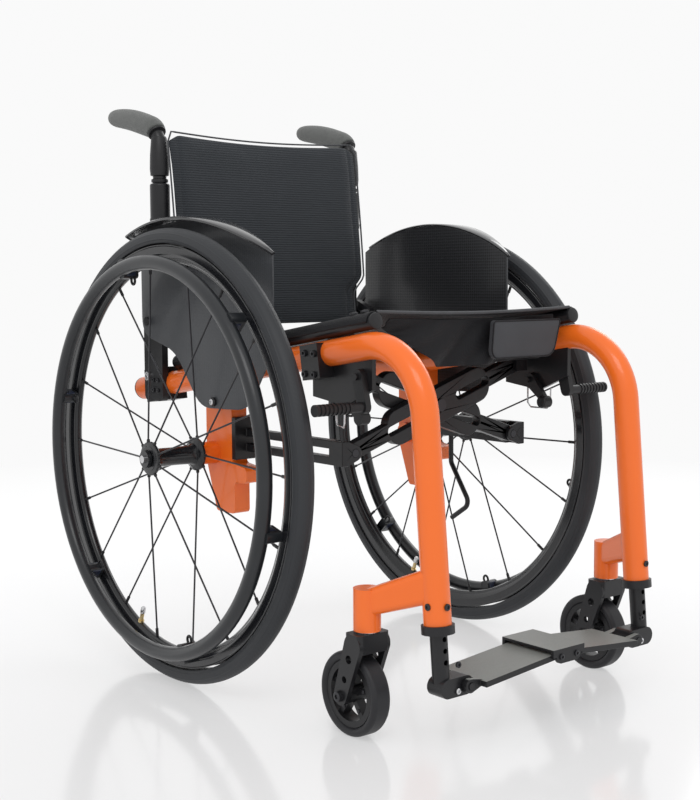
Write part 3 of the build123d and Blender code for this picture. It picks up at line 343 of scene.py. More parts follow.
# ------------------------------------------------------------------ mesh helpers
def piece(name, bm, material, body, smooth=40.0):
    """Turns a bmesh into a piece of the object that rides on a body."""
    bmesh.ops.recalc_face_normals(bm, faces=bm.faces[:])
    data = bpy.data.meshes.new(name)
    bm.to_mesh(data)
    bm.free()
    thing = bpy.data.objects.new(name, data)
    bpy.context.scene.collection.objects.link(thing)
    data.materials.append(material)
    data.shade_smooth()
    data.set_sharp_from_angle(angle=math.radians(smooth))
    if body:
        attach(thing, body)
    return thing


def basis(direction):
    """Two directions across a given one."""
    along = Vector(direction).normalized()
    helper = Vector((0, 0, 1)) if abs(along.z) < 0.9 else Vector((0, 1, 0))
    first = along.cross(helper).normalized()
    return along, first, along.cross(first)


def join_rings(bm, rings, closed_path=False, caps=True):
    """Skin between rings of vertices."""
    pairs = list(zip(rings, rings[1:]))
    if closed_path:
        pairs.append((rings[-1], rings[0]))
    for first, second in pairs:
        for i in range(len(first)):
            k = (i + 1) % len(first)
            bm.faces.new((first[i], first[k], second[k], second[i]))
    if caps and not closed_path:
        bm.faces.new(rings[0][::-1])
        bm.faces.new(rings[-1])


def circle(bm, centre, across, up, radius, sides):
    """Ring of vertices in the plane of two directions."""
    angles = [2 * math.pi * i / sides for i in range(sides)]
    return [bm.verts.new(centre + (across * math.cos(a) + up * math.sin(a)) * radius) for a in angles]


def add_turned(bm, start, direction, profile, sides=24):
    """Solid of revolution: profile is (distance along, radius) from start."""
    along, across, up = basis(direction)
    rings = []
    for distance, radius in profile:
        rings.append(circle(bm, Vector(start) + along * distance, across, up, radius, sides))
    join_rings(bm, rings)


def add_tube(bm, points, radius, sides=12, closed=False):
    """Tube along points. radius is a number or one number for each point."""
    points = [Vector(p) for p in points]
    radii = [radius] * len(points) if isinstance(radius, float) else radius
    count = len(points)
    rings = []
    across = None
    for i, point in enumerate(points):
        before = points[(i - 1) % count] if closed or i else point
        after = points[(i + 1) % count] if closed or i < count - 1 else point
        along = (after - before).normalized()
        if across is None:
            across = basis(along)[1]
        across = (across - along * across.dot(along)).normalized()
        up = along.cross(across)
        rings.append(circle(bm, point, across, up, radii[i], sides))
    join_rings(bm, rings, closed_path=closed)


def add_bolt(bm, base, direction, radius, height):
    """Socket head cap screw with a hexagonal recess."""
    sides = 24
    along, across, up = basis(direction)
    hexagon = [math.cos(math.pi / 6) / math.cos((2 * math.pi * i / sides) % (math.pi / 3) - math.pi / 6)
               for i in range(sides)]
    steps = [(0, radius, False), (0.85 * height, radius, False), (height, 0.85 * radius, False),
             (height, 0.52 * radius, True), (0.35 * height, 0.48 * radius, True)]
    rings = []
    for distance, size, six in steps:
        ring = []
        for i in range(sides):
            a = 2 * math.pi * i / sides
            reach = size * (hexagon[i] if six else 1)
            spot = Vector(base) + along * distance + (across * math.cos(a) + up * math.sin(a)) * reach
            ring.append(bm.verts.new(spot))
        rings.append(ring)
    join_rings(bm, rings)


def add_box(bm, centre, size, turn=None):
    """Box, to be bevelled later. turn is a rotation matrix."""
    place = Matrix.Translation(Vector(centre)) @ (turn.to_4x4() if turn else Matrix.Identity(4))
    bmesh.ops.create_cube(bm, size=1.0, matrix=place @ Matrix.Diagonal((*size, 1.0)))


def soften(thing, width, segments=2):
    """Rounded edges, applied to the mesh."""
    bevel = thing.modifiers.new("round", "BEVEL")
    bevel.width = width
    bevel.segments = segments
    bevel.limit_method = "ANGLE"
    bevel.angle_limit = math.radians(35)
    apply_modifiers(thing)
    return thing


def apply_modifiers(thing):
    """Replaces a mesh by what its modifiers make of it."""
    graph = bpy.context.evaluated_depsgraph_get()
    made = bpy.data.meshes.new_from_object(thing.evaluated_get(graph))
    thing.modifiers.clear()
    thing.data = made
    made.shade_smooth()
    made.set_sharp_from_angle(angle=math.radians(40))


def wheel_point(side, angle, radius, offset=0.0):
    """Point in a rear wheel: angle in degrees from the top towards the front, offset outboard."""
    a = math.radians(angle)
    x = side * (TRACK + offset)
    return Vector((x, AXLE.y - math.sin(a) * radius, WHEEL_RADIUS + math.cos(a) * radius))


def add_ring(bm, centre, profile, segments, relief=None):
    """Closed ring about the X axis: profile is (offset along X, radius). relief(x, angle) lowers the skin."""
    rings = []
    for i in range(segments):
        a = 2 * math.pi * i / segments
        ring = []
        for x, radius in profile:
            r = radius - (relief(x, a) if relief else 0.0)
            spot = (centre.x + x, centre.y - math.sin(a) * r, centre.z + math.cos(a) * r)
            ring.append(bm.verts.new(spot))
        rings.append(ring)
    join_rings(bm, rings, closed_path=True)


# ------------------------------------------------------------------ rear wheels
def tyre_profile():
    """Round section with two raised lines on each sidewall, cut off at the rim."""
    low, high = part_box("left_tyre")
    half = (high.x - low.x) / 2
    centre = WHEEL_RADIUS - half
    points = []
    for i in range(57):
        a = math.radians(-118 + 236 * i / 56)
        line = sum(0.0005 * math.exp(-((abs(math.degrees(a)) - at) / 2.4) ** 2) for at in (64, 96))
        across = math.sin(a) * (half - 0.0006 + line)
        points.append((across, centre + math.cos(a) * (half + line - 0.0003)))
    return points


def tread_relief(x, angle):
    """Fine slanted file marks on both shoulders of the tread and a shallow groove in the middle."""
    mark = 0.0
    if 0.003 < abs(x) < 0.0085:
        phase = (angle * 300 / (2 * math.pi) + abs(x) * 220) % 1.0
        mark = 0.0004 if phase < 0.34 else 0.0
    if abs(x) < 0.0006:
        mark = 0.0003
    return mark


def make_tyre(name, side):
    bm = bmesh.new()
    add_ring(bm, Vector((side * TRACK, AXLE.y, WHEEL_RADIUS)), tyre_profile(), 900, tread_relief)
    thing = piece(f"{name}_tyre_detailed", bm, TYRE, f"{name}_wheel")
    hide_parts(f"{name}_tyre")


def make_rim(name, side):
    """Deep rim: rounded nose, smooth flanks, a step below the brake track and a rolled edge."""
    low = 0.252
    profile = []
    for i in range(9):
        a = math.radians(-90 + 180 * i / 8)
        profile.append((0.0058 * math.sin(a), low + 0.0045 * (1 - math.cos(a))))
    right = [(0.0088, 0.2600), (0.0104, 0.2635), (0.0100, 0.2642), (0.0100, 0.2728), (0.0105, 0.2738),
             (0.0102, 0.2750), (0.0088, 0.2750), (0.0085, 0.2702)]
    profile = profile + right + [(-x, r) for x, r in reversed(right)]
    bm = bmesh.new()
    add_ring(bm, Vector((side * TRACK, AXLE.y, WHEEL_RADIUS)), profile, 240)
    thing = piece(f"{name}_rim_detailed", bm, GLOSS, f"{name}_wheel", smooth=25)
    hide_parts(f"{name}_rim")


def make_hub(name, side):
    """Waisted shell with rounded flanges, lock ring and spoke seats."""
    low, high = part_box(f"{name}_hub")
    inner, outer = (low.x, high.x) if side > 0 else (high.x, low.x)
    length = abs(outer - inner)
    profile = [(0.0, 0.0095), (0.0, 0.0155), (0.0008, 0.0170), (0.0012, 0.0212), (0.0022, 0.0220),
               (0.0048, 0.0220), (0.0062, 0.0208), (0.0085, 0.0150), (0.0150, 0.0124), (length / 2, 0.0118),
               (length - 0.0150, 0.0124), (length - 0.0085, 0.0150), (length - 0.0062, 0.0208),
               (length - 0.0048, 0.0220),
               (length - 0.0022, 0.0220), (length - 0.0012, 0.0212), (length - 0.0008, 0.0170),
               (length, 0.0160), (length, 0.0120), (length - 0.0015, 0.0112), (length - 0.0015, 0.0070)]
    bm = bmesh.new()
    add_turned(bm, (inner, AXLE.y, WHEEL_RADIUS), (side, 0, 0), profile, 64)
    thing = piece(f"{name}_hub_detailed", bm, GLOSS, f"{name}_wheel", smooth=30)
    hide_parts(f"{name}_hub")


def make_spoke_ends(name, side):
    """Black sleeves where the spokes enter the rim, and their heads at the flanges."""
    bm = bmesh.new()
    for index in range(SPOKES):
        angle = -(SPOKE_FIRST + 360.0 / SPOKES * index)
        offset = -0.038 if index % 2 else 0.032
        hub_end = wheel_point(side, angle, SPOKE_CIRCLE, offset)
        rim_end = wheel_point(side, angle, RIM_INNER, 0.0)
        along = (rim_end - hub_end).normalized()
        start = rim_end - along * FERRULE_LENGTH
        profile = [(0, 0.0014), (0.0008, FERRULE_RADIUS), (FERRULE_LENGTH, FERRULE_RADIUS)]
        add_turned(bm, start, along, profile, 10)
        add_turned(bm, hub_end, along, [(0, 0.0022), (0.0030, 0.0022), (0.0040, 0.0014)], 10)
    piece(f"{name}_spoke_ends", bm, MOULDED, f"{name}_wheel")


def make_tabs(name, side):
    """Tab blocks of the push ring and the eye on each."""
    blocks, eyes = bmesh.new(), bmesh.new()
    for index in range(TABS):
        angle = TAB_FIRST + 360.0 / TABS * index
        turn = Matrix.Rotation(math.radians(angle), 3, "X")
        centre = wheel_point(side, angle, 0.2505, 0.0215)
        add_box(blocks, centre, (0.0150, 0.0150, 0.0170), turn)
        out = (wheel_point(side, angle, 1.0) - wheel_point(side, angle, 0.0)).normalized()
        sideways = Vector((side, 0, 0)).cross(out)
        middle_of_eye = wheel_point(side, angle, 0.2375, 0.0160)
        turns = [2 * math.pi * k / 24 for k in range(24)]
        steps = [out * math.cos(t) + sideways * math.sin(t) * 0.85 for t in turns]
        loop = [middle_of_eye + step * EYE_RADIUS for step in steps]
        add_tube(eyes, loop, 0.0017, 10, closed=True)
        add_bolt(eyes, wheel_point(side, angle, 0.2520, 0.0288), Vector((side, 0, 0)), 0.0034, 0.0018)
    soften(piece(f"{name}_tab_blocks", blocks, TAB, f"{name}_wheel"), 0.0022, 3)
    piece(f"{name}_tab_eyes", eyes, MOULDED, f"{name}_wheel")


def make_valve(name, side):
    """Valve stem towards the hub, at the back of the wheel's foot."""
    start = wheel_point(side, VALVE_ANGLE, RIM_INNER)
    inward = (wheel_point(side, VALVE_ANGLE, 0.0) - start).normalized()
    stem, cap = bmesh.new(), bmesh.new()
    add_turned(stem, start, inward, [(0, 0.0042), (0.003, 0.0042), (0.0032, 0.0028), (0.014, 0.0028)], 16)
    cap_profile = [(0, 0.0030), (0.001, 0.0036), (0.008, 0.0034), (0.010, 0.0022)]
    add_turned(cap, start + inward * 0.0135, inward, cap_profile, 16)
    piece(f"{name}_valve_stem", stem, BRASS, f"{name}_wheel")
    piece(f"{name}_valve_cap", cap, STEEL, f"{name}_wheel")


# ------------------------------------------------------------------ push handles
def handle_line(side):
    """Middle line of a push handle's foam: from halfway round the bend, back along the handle."""
    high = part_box("left_grip")[1]
    lead = []
    slope = math.radians(11.8)
    start = math.radians(40)
    bend_radius = 0.027
    centre = Vector((CANE.x, CANE.y + bend_radius, 0.7165))
    for i in range(9):
        a = start + (math.pi / 2 - slope - start) * i / 8
        lead.append(centre + Vector((0, -math.cos(a), math.sin(a))) * bend_radius)
    back = Vector((0, math.cos(slope), math.sin(slope)))
    length = high.y + 0.0028 - lead[-1].y
    bend_end = lead[-1]
    for k in range(1, 25):
        hump = 0.0035 * math.sin(math.pi * k / 24) - 0.0010 * k / 24
        lead.append(bend_end + back * (length / math.cos(slope)) * k / 24 + Vector((0, 0, hump)))
    return [Vector((side * p.x, p.y, p.z)) for p in lead]


def make_grip(name, side):
    """Foam grip that follows the bend, swelling towards a round end."""
    line = handle_line(side)
    count = len(line)
    radii = []
    for i in range(count):
        share = i / (count - 1)
        swell = 0.0118 + 0.0032 * math.sin(math.pi * min(1.0, 0.1 + share)) ** 0.7
        end = max(0.0, (share - 0.86) / 0.14)
        radii.append(swell * math.sqrt(max(0.0, 1 - end ** 2.6)) + 0.0006)
    foam, rim = bmesh.new(), bmesh.new()
    add_tube(foam, line, radii, 28)
    along = (line[1] - line[0]).normalized()
    add_turned(rim, line[0] - along * 0.0040, along, [(0, 0.0100), (0.0008, 0.0128), (0.0030, 0.0134),
                                                      (0.0046, 0.0120)], 28)
    thing = piece(f"{name}_grip_foam", foam, FOAM, f"{name}_back", smooth=80)
    subdivide(thing, 1)
    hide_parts(f"{name}_grip")
    piece(f"{name}_grip_rim", rim, MOULDED, f"{name}_back")


def thicken(thing, thickness):
    """Gives a sheet its thickness, half to each side."""
    thick = thing.modifiers.new("thick", "SOLIDIFY")
    thick.thickness = thickness
    thick.offset = 0
    apply_modifiers(thing)


def subdivide(thing, levels):
    smooth = thing.modifiers.new("smooth", "SUBSURF")
    smooth.levels = levels
    smooth.render_levels = levels
    apply_modifiers(thing)
    thing.data.set_sharp_from_angle(angle=math.radians(180))


def make_cane_sleeves(name, side):
    """Moulded sleeve above the height clamp, the clamp's collar rings and its screw."""
    x, y = side * CANE.x, CANE.y
    bm, bolts = bmesh.new(), bmesh.new()
    sleeve = [(0, 0.0100), (0.0010, 0.0128), (0.010, 0.0136), (0.030, 0.0130), (0.052, 0.0112),
              (0.055, 0.0098)]
    gap_ring = [(0, 0.0100), (0.0008, 0.0118), (0.0045, 0.0118), (0.0055, 0.0100)]
    foot_ring = [(0, 0.0100), (0.002, 0.0144), (0.008, 0.0148), (0.010, 0.0140)]
    for z, profile in ((0.672, sleeve), (0.663, gap_ring), (0.604, foot_ring)):
        add_turned(bm, (x, y, z), (0, 0, 1), profile, 32)
    for z in (0.622, 0.646):
        add_bolt(bolts, (x, y + 0.0135, z), (0, 1, 0), 0.0036, 0.0030)
    piece(f"{name}_cane_sleeve", bm, MOULDED, f"{name}_back")
    piece(f"{name}_cane_bolts", bolts, DARK_STEEL, f"{name}_back")


# ------------------------------------------------------------------ soft goods
def grid_mesh(bm, columns, rows, place):
    """Grid of vertices: place(u, v) for u and v from 0 to 1."""
    grid = [[bm.verts.new(place(i / columns, j / rows)) for i in range(columns + 1)] for j in range(rows + 1)]
    for j in range(rows):
        for i in range(columns):
            bm.faces.new((grid[j][i], grid[j][i + 1], grid[j + 1][i + 1], grid[j + 1][i]))
    return grid


def ripple(x, z, seed):
    """Smooth repeatable unevenness, between about -1 and 1."""
    total = 0.0
    rng = np.random.default_rng(seed)
    for _ in range(5):
        fx, fz, phase = rng.uniform(6, 42), rng.uniform(-9, 9), rng.uniform(0, 6.28)
        total += math.sin(fx * x + fz * z + phase)
    return total / 2.6


def run_cloth(thing, frames, pressure, gravity, pinned=None, cap=None):
    """Cloth simulation whose result is applied. cap limits how far a point may move."""
    rest = np.array([v.co for v in thing.data.vertices], float).reshape(-1, 3)
    cloth = thing.modifiers.new("cloth", "CLOTH")
    cloth.settings.quality = 6
    cloth.settings.mass = 0.25
    cloth.settings.tension_stiffness = 25
    cloth.settings.compression_stiffness = 12
    cloth.settings.bending_stiffness = 0.6
    cloth.settings.use_pressure = pressure > 0
    cloth.settings.uniform_pressure_force = pressure
    cloth.settings.effector_weights.gravity = gravity
    cloth.collision_settings.use_collision = False
    if pinned:
        cloth.settings.vertex_group_mass = pinned
    scene = bpy.context.scene
    scene.frame_start, scene.frame_end = 1, frames
    for number in range(1, frames + 1):
        scene.frame_set(number)
    apply_modifiers(thing)
    scene.frame_set(1)
    if cap:
        now = np.array([v.co for v in thing.data.vertices], float).reshape(-1, 3)
        step = now - rest
        length = np.linalg.norm(step, axis=1, keepdims=True)
        now = rest + step * np.minimum(1.0, cap / np.maximum(length, 1e-9))
        thing.data.vertices.foreach_set("co", now.astype(np.float32).ravel())
        thing.data.update()


def back_face(z):
    """Where the backrest's front stands at a height, before its crown."""
    low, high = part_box("back_sling")
    share = (z - low.z) / (high.z - low.z)
    return low.y + (high.y - low.y - 0.008) * (0.55 * share + 0.45 * share ** 2)


def make_back():
    """Padded backrest before the posts: ribbed, soft upright folds, piped top, stitched side channels."""
    low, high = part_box("back_sling")
    half, low_half = high.x - 0.0015, 0.1500
    bottom, top = low.z + 0.003, high.z - 0.001
    step = 0.516

    def side_at(z):
        blend = min(1.0, max(0.0, (z - step + 0.012) / 0.030))
        return low_half - 0.002 + (half - low_half + 0.002) * blend * blend * (3 - 2 * blend)

    def crown(x, z):
        """How far the middle of the panel sits back from its edges."""
        return 0.007 * (1 - (x / half) ** 2) * (0.3 + 0.7 * (z - bottom) / (top - bottom))

    bm = bmesh.new()
    columns, rows = 64, 54
    sheets = []
    for depth in (0.001, BACK_THICKNESS - 0.005):
        def place(u, v, depth=depth):
            base = bottom + (top - bottom) * v
            x = side_at(base) * (2 * u - 1)
            corner = 0.010 * max(0.0, abs(2 * u - 1) - 0.9) / 0.1 * v ** 12
            dip = 0.006 * math.sin(math.pi * u) * v ** 6 + corner
            inset = 0.0018 * (1 - min(1.0, 12 * min(u, 1 - u))) * (1 if depth < 0.002 else -1)
            return Vector((x, back_face(base) + crown(x, base) + depth + inset, base - dip))
        sheets.append(grid_mesh(bm, columns, rows, place))
    front_grid, rear_grid = sheets
    edge = [(0, i) for i in range(columns)] + [(j, columns) for j in range(rows)]
    edge += [(rows, columns - i) for i in range(columns)] + [(rows - j, 0) for j in range(rows)]
    for (j, i), (q, p) in zip(edge, edge[1:] + edge[:1]):
        bm.faces.new((front_grid[j][i], front_grid[q][p], rear_grid[q][p], rear_grid[j][i]))
    thing = piece("back_upholstery", bm, BACK, None, smooth=180)
    run_cloth(thing, 20, 4.0, 0.0, cap=BACK_CAP)
    subdivide(thing, 1)
    for v in thing.data.vertices:
        x, z = v.co.x, v.co.z
        away = min(1.0, max(0.0, (side_at(z) - abs(x)) / 0.03))
        fold = 0.0020 * ripple(x * 0.8, 0.30 * z, SEED) * away * (0.35 + 0.65 * (z - bottom) / (top - bottom))
        seam = 0.0020 * math.exp(-((side_at(z) - 0.016 - abs(x)) / 0.0026) ** 2)
        face = -1 if v.co.y < back_face(z) + crown(x, z) + BACK_THICKNESS / 2 - 0.002 else 1
        v.co.y += (fold - face * seam) if face < 0 else 0.0
    thing.data.update()
    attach(thing, "right_back")
    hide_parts("back_sling")
    for soft in (thing, make_back_piping(side_at, crown, bottom, top)):
        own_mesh(soft)


def make_back_piping(side_at, crown, bottom, top):
    """Thin piping along the top and down both edges of the backrest."""
    bm = bmesh.new()
    line = []
    for z in np.linspace(bottom + 0.010, top - 0.014, 40):
        line.append((-side_at(z) - 0.0004, z))
    for u in np.linspace(0.02, 0.98, 60):
        line.append((side_at(top) * (2 * u - 1), top + 0.0012 - 0.006 * math.sin(math.pi * u)))
    for z in np.linspace(top - 0.014, bottom + 0.010, 40):
        line.append((side_at(z) + 0.0004, z))
    middle_depth = BACK_THICKNESS / 2 - 0.002
    points = [Vector((x, back_face(z) + crown(x, z) + middle_depth, z)) for x, z in line]
    add_tube(bm, points, 0.0013, 8)
    thing = piece("back_piping", bm, HEM, None)
    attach(thing, "right_back")
    return thing


def rail_line():
    """Rear and front end of a seat rail's middle line, on the left."""
    low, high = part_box("left_seat_rail")
    x = high.x - 0.010
    slope = 0.155
    front_z = high.z - 0.010
    return Vector((x, high.y, front_z - slope * (high.y - low.y))), Vector((x, low.y, front_z))


def make_seat():
    """Sling over both rails: wrapped on the rails, hanging between them, its front edge bound."""
    rear, front = rail_line()
    radius = 0.0112
    wrap = math.radians(95)
    columns, rows, turns = 56, 70, 8
    span = 2 * rear.x

    def section(i):
        """Offset (x, z) from the middle of the seat at the rails' height, and how free the point is."""
        if i < turns:
            a = wrap * (1 - i / turns)
            return -rear.x - radius * math.sin(a), radius * math.cos(a), 0.0
        if i > turns + columns:
            a = wrap * (i - turns - columns) / turns
            return rear.x + radius * math.sin(a), radius * math.cos(a), 0.0
        u = (i - turns) / columns
        return -rear.x + span * u, radius, math.sin(math.pi * u)

    total = columns + 2 * turns
    bm = bmesh.new()
    weights = []
    for j in range(rows + 1):
        v = j / rows
        centre = rear.lerp(front, 0.008 + 0.984 * v)
        for i in range(total + 1):
            x, z, free = section(i)
            hang = (SEAT_SAG + (FRONT_SAG - SEAT_SAG) * v ** 6) * free
            crumple = 0.0012 * ripple(centre.y * 1.4, x * 2.5, SEED + 3) * free
            bm.verts.new((x, centre.y, centre.z + z - hang + crumple))
            weights.append(1.0 if free < 0.05 or j == rows else 0.0)
    bm.verts.ensure_lookup_table()
    for j in range(rows):
        for i in range(total):
            a = j * (total + 1) + i
            bm.faces.new((bm.verts[a], bm.verts[a + 1], bm.verts[a + total + 2], bm.verts[a + total + 1]))
    thing = piece("seat_fabric_sling", bm, SEAT, None, smooth=180)
    group = thing.vertex_groups.new(name="held")
    for index, weight in enumerate(weights):
        group.add([index], weight, "REPLACE")
    run_cloth(thing, 20, 0.0, 0.35, pinned="held", cap=0.007)
    thicken(thing, SEAT_CLOTH)
    subdivide(thing, 1)
    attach(thing, "right_seat_rail")
    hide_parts("seat_sling")
    extras = [thing, make_hem(rear, front, radius), make_apron(front, radius), *make_pouch()]
    for soft in extras:
        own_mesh(soft)


def make_hem(rear, front, radius):
    """Binding tape folded over the seat's front edge, with a line of stitches."""
    bm = bmesh.new()
    y = rear.lerp(front, 0.992).y
    z = rear.lerp(front, 0.992).z + radius

    def place(u, v):
        a = math.radians(-90 + 200 * v)
        x = -front.x + 0.004 + (2 * front.x - 0.008) * u
        drop = FRONT_SAG * math.sin(math.pi * u)
        return Vector((x, y - 0.0004 - 0.0016 * math.cos(a), z - drop + 0.0016 * math.sin(a)))

    grid_mesh(bm, 70, 10, place)
    thing = piece("seat_hem", bm, HEM, None, smooth=180)
    thicken(thing, 0.0007)
    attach(thing, "right_seat_rail")
    return thing


def make_apron(front, radius):
    """Loose cloth below the front edge in slanting folds. Nothing holds it, so it drops by the cap."""
    bm = bmesh.new()
    columns, rows = 80, 26

    def place(u, v):
        x = -0.140 + 0.285 * u
        top = front.z + radius - FRONT_SAG * math.cos(math.pi * x / 2 / front.x) - 0.002
        depth = APRON_DEPTH * min(1.0, 0.18 + 2.5 * u) * (1 - 0.10 * u)
        lean = 62 * x + 2.4 * v
        fold = (0.0050 * math.sin(lean + 1.2) + 0.0030 * math.sin(2.3 * lean + 2.0 * v + 0.4)) * v ** 0.6
        fold += 0.0030 * ripple(x * 2.2, v * 0.5, SEED + 7) * v
        return Vector((x, front.y + 0.011 + 0.010 * v + fold, top - depth * v))

    grid_mesh(bm, columns, rows, place)
    thing = piece("seat_apron", bm, SEAT, None, smooth=180)
    thing.vertex_groups.new(name="held")
    run_cloth(thing, 14, 0.0, 0.5, pinned="held", cap=APRON_DROP)
    thicken(thing, 0.0014)
    subdivide(thing, 1)
    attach(thing, "right_seat_rail")
    return thing


def make_pouch():
    """Flat padded pouch with a welt round its edge, hung from the front of the seat."""
    low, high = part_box("seat_pouch")
    centre = (low + high) / 2
    half_x, half_z = (high.x - low.x) / 2, (high.z - low.z) / 2
    corner = 0.013

    def outline(shrink):
        points = []
        for sx, sz, start in ((1, 1, 0), (-1, 1, 90), (-1, -1, 180), (1, -1, 270)):
            r = corner if sz < 0 else 0.004
            for k in range(7):
                a = math.radians(start + 15 * k)
                x = sx * (half_x - r) + r * math.cos(a)
                z = sz * (half_z - r) + r * math.sin(a)
                drop = (half_z - z) / (2 * half_z)
                x = x - 0.006 - 0.009 * drop - 0.07 * x * drop
                points.append((x * (1 - shrink / half_x), z * (1 - shrink / half_z)))
        return points

    bm = bmesh.new()
    layers = [(0.0, 0.0024), (0.0010, 0.0030), (0.004, 0.0036), (0.012, 0.0044), (0.020, 0.0047)]
    rings = []
    for shrink, y in reversed(layers):
        rings.append([bm.verts.new((centre.x + x, centre.y + y, centre.z + z)) for x, z in outline(shrink)])
    for shrink, y in layers:
        rings.append([bm.verts.new((centre.x + x, centre.y - y, centre.z + z)) for x, z in outline(shrink)])
    join_rings(bm, rings)
    pouch = piece("seat_pouch_padded", bm, POUCH, None, smooth=60)
    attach(pouch, "right_seat_rail")
    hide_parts("seat_pouch")
    welt = bmesh.new()
    edge = [Vector((centre.x + x, centre.y - 0.0030, centre.z + z)) for x, z in outline(0.0008)]
    add_tube(welt, edge, 0.0011, 8, closed=True)
    trim = piece("seat_pouch_welt", welt, SEAT, None)
    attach(trim, "right_seat_rail")
    return pouch, trim


# ------------------------------------------------------------------ side guards
def guard_outline(inner, front_y, rear_y):
    """Edge of the guard's plate in Y and Z, anticlockwise from the fender's rear end."""
    def arc_z(y):
        return WHEEL_RADIUS + math.sqrt(inner ** 2 - y ** 2)

    arc = [(y, arc_z(y)) for y in np.linspace(rear_y, front_y, 60)]
    lower = [(front_y, 0.440), (-0.110, 0.362), (0.0, 0.358), (0.060, 0.430), (rear_y, 0.452)]
    corner = 0.024
    points = list(arc)
    ring = [arc[-1], *lower, arc[0]]
    for before, here, after in zip(ring, ring[1:], ring[2:]):
        p, h, q = Vector(before), Vector(here), Vector(after)
        reach = min(corner, 0.45 * (p - h).length, 0.45 * (q - h).length)
        first, last = h + (p - h).normalized() * reach, h + (q - h).normalized() * reach
        for k in range(7):
            t = k / 6
            spot = first * (1 - t) ** 2 + h * 2 * t * (1 - t) + last * t ** 2
            points.append((spot.x, spot.y))
    return points


def make_guard(name, side):
    """Guard plate with a fender whose overhang narrows to nothing towards the front."""
    low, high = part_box(f"{name}_side_guard")
    inner_x = min(abs(low.x), abs(high.x))
    outer_x = max(abs(low.x), abs(high.x))
    crown = high.z - WHEEL_RADIUS - 0.003
    plate, fender = bmesh.new(), bmesh.new()
    outline = guard_outline(crown, GUARD_FRONT, GUARD_REAR)
    rings = []
    for x, shrink in ((inner_x + 0.0004, 0.0006), (inner_x, 0.0016), (inner_x + 0.0030, 0.0016),
                      (inner_x + 0.0026, 0.0)):
        middle_y = sum(y for y, _ in outline) / len(outline)
        middle_z = sum(z for _, z in outline) / len(outline)
        ring = []
        for y, z in outline:
            pull = shrink / math.hypot(y - middle_y, z - middle_z)
            spot = (side * x, AXLE.y + y + (middle_y - y) * pull, z + (middle_z - z) * pull)
            ring.append(plate.verts.new(spot))
        rings.append(ring)
    rings = [rings[1], rings[0], rings[3], rings[2]]
    join_rings(plate, rings)
    steps = 96
    front, rear = math.radians(FENDER_FRONT), math.radians(FENDER_REAR)
    sections = []
    for i in range(steps + 1):
        a = rear + (front - rear) * i / steps
        share = i / steps
        width = (outer_x - inner_x) * (1 - 0.90 * share ** 3)
        end = min(1.0, 0.25 + 9 * share)
        section = []
        profile = [(0.0, 0.0), (width - 0.004, 0.0003), (width - 0.001, -0.0018), (width, -0.0012),
                   (width, 0.0012), (width - 0.003, 0.0026), (0.6 * width, 0.0030), (0.0016, 0.0028),
                   (0.0, 0.0016)]
        for x, rise in profile:
            radius = crown + rise
            y, z = AXLE.y - math.sin(a) * radius, WHEEL_RADIUS + math.cos(a) * radius
            section.append(fender.verts.new((side * (inner_x + x * end), y, z)))
        sections.append(section)
    join_rings(fender, sections)
    piece(f"{name}_fender", fender, FENDER, f"{name}_frame", smooth=50)
    thing = piece(f"{name}_guard_plate", plate, GUARDS[name], f"{name}_frame", smooth=30)
    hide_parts(f"{name}_side_guard")


# ------------------------------------------------------------------ hardware
def make_rail_caps(name, side):
    """Moulded plugs and a screw at both ends of a seat rail."""
    rear, front = rail_line()
    along = (front - rear).normalized()
    bm, bolts = bmesh.new(), bmesh.new()
    for end, way in ((front, 1), (rear, -1)):
        spot = Vector((side * end.x, end.y, end.z))
        add_turned(bm, spot - along * way * 0.002, along * way,
                   [(0, 0.0098), (0.0024, 0.0100), (0.0034, 0.0094), (0.0042, 0.0070), (0.0044, 0.0030)], 28)
        for back in (0.020, 0.040):
            seat = spot - along * way * back + Vector((0, 0, 0.0128))
            add_bolt(bolts, seat, (0, 0.155, 1), 0.0048, 0.0026)
    piece(f"{name}_rail_caps", bm, MOULDED, f"{name}_seat_rail")
    piece(f"{name}_rail_bolts", bolts, DARK_STEEL, f"{name}_seat_rail")


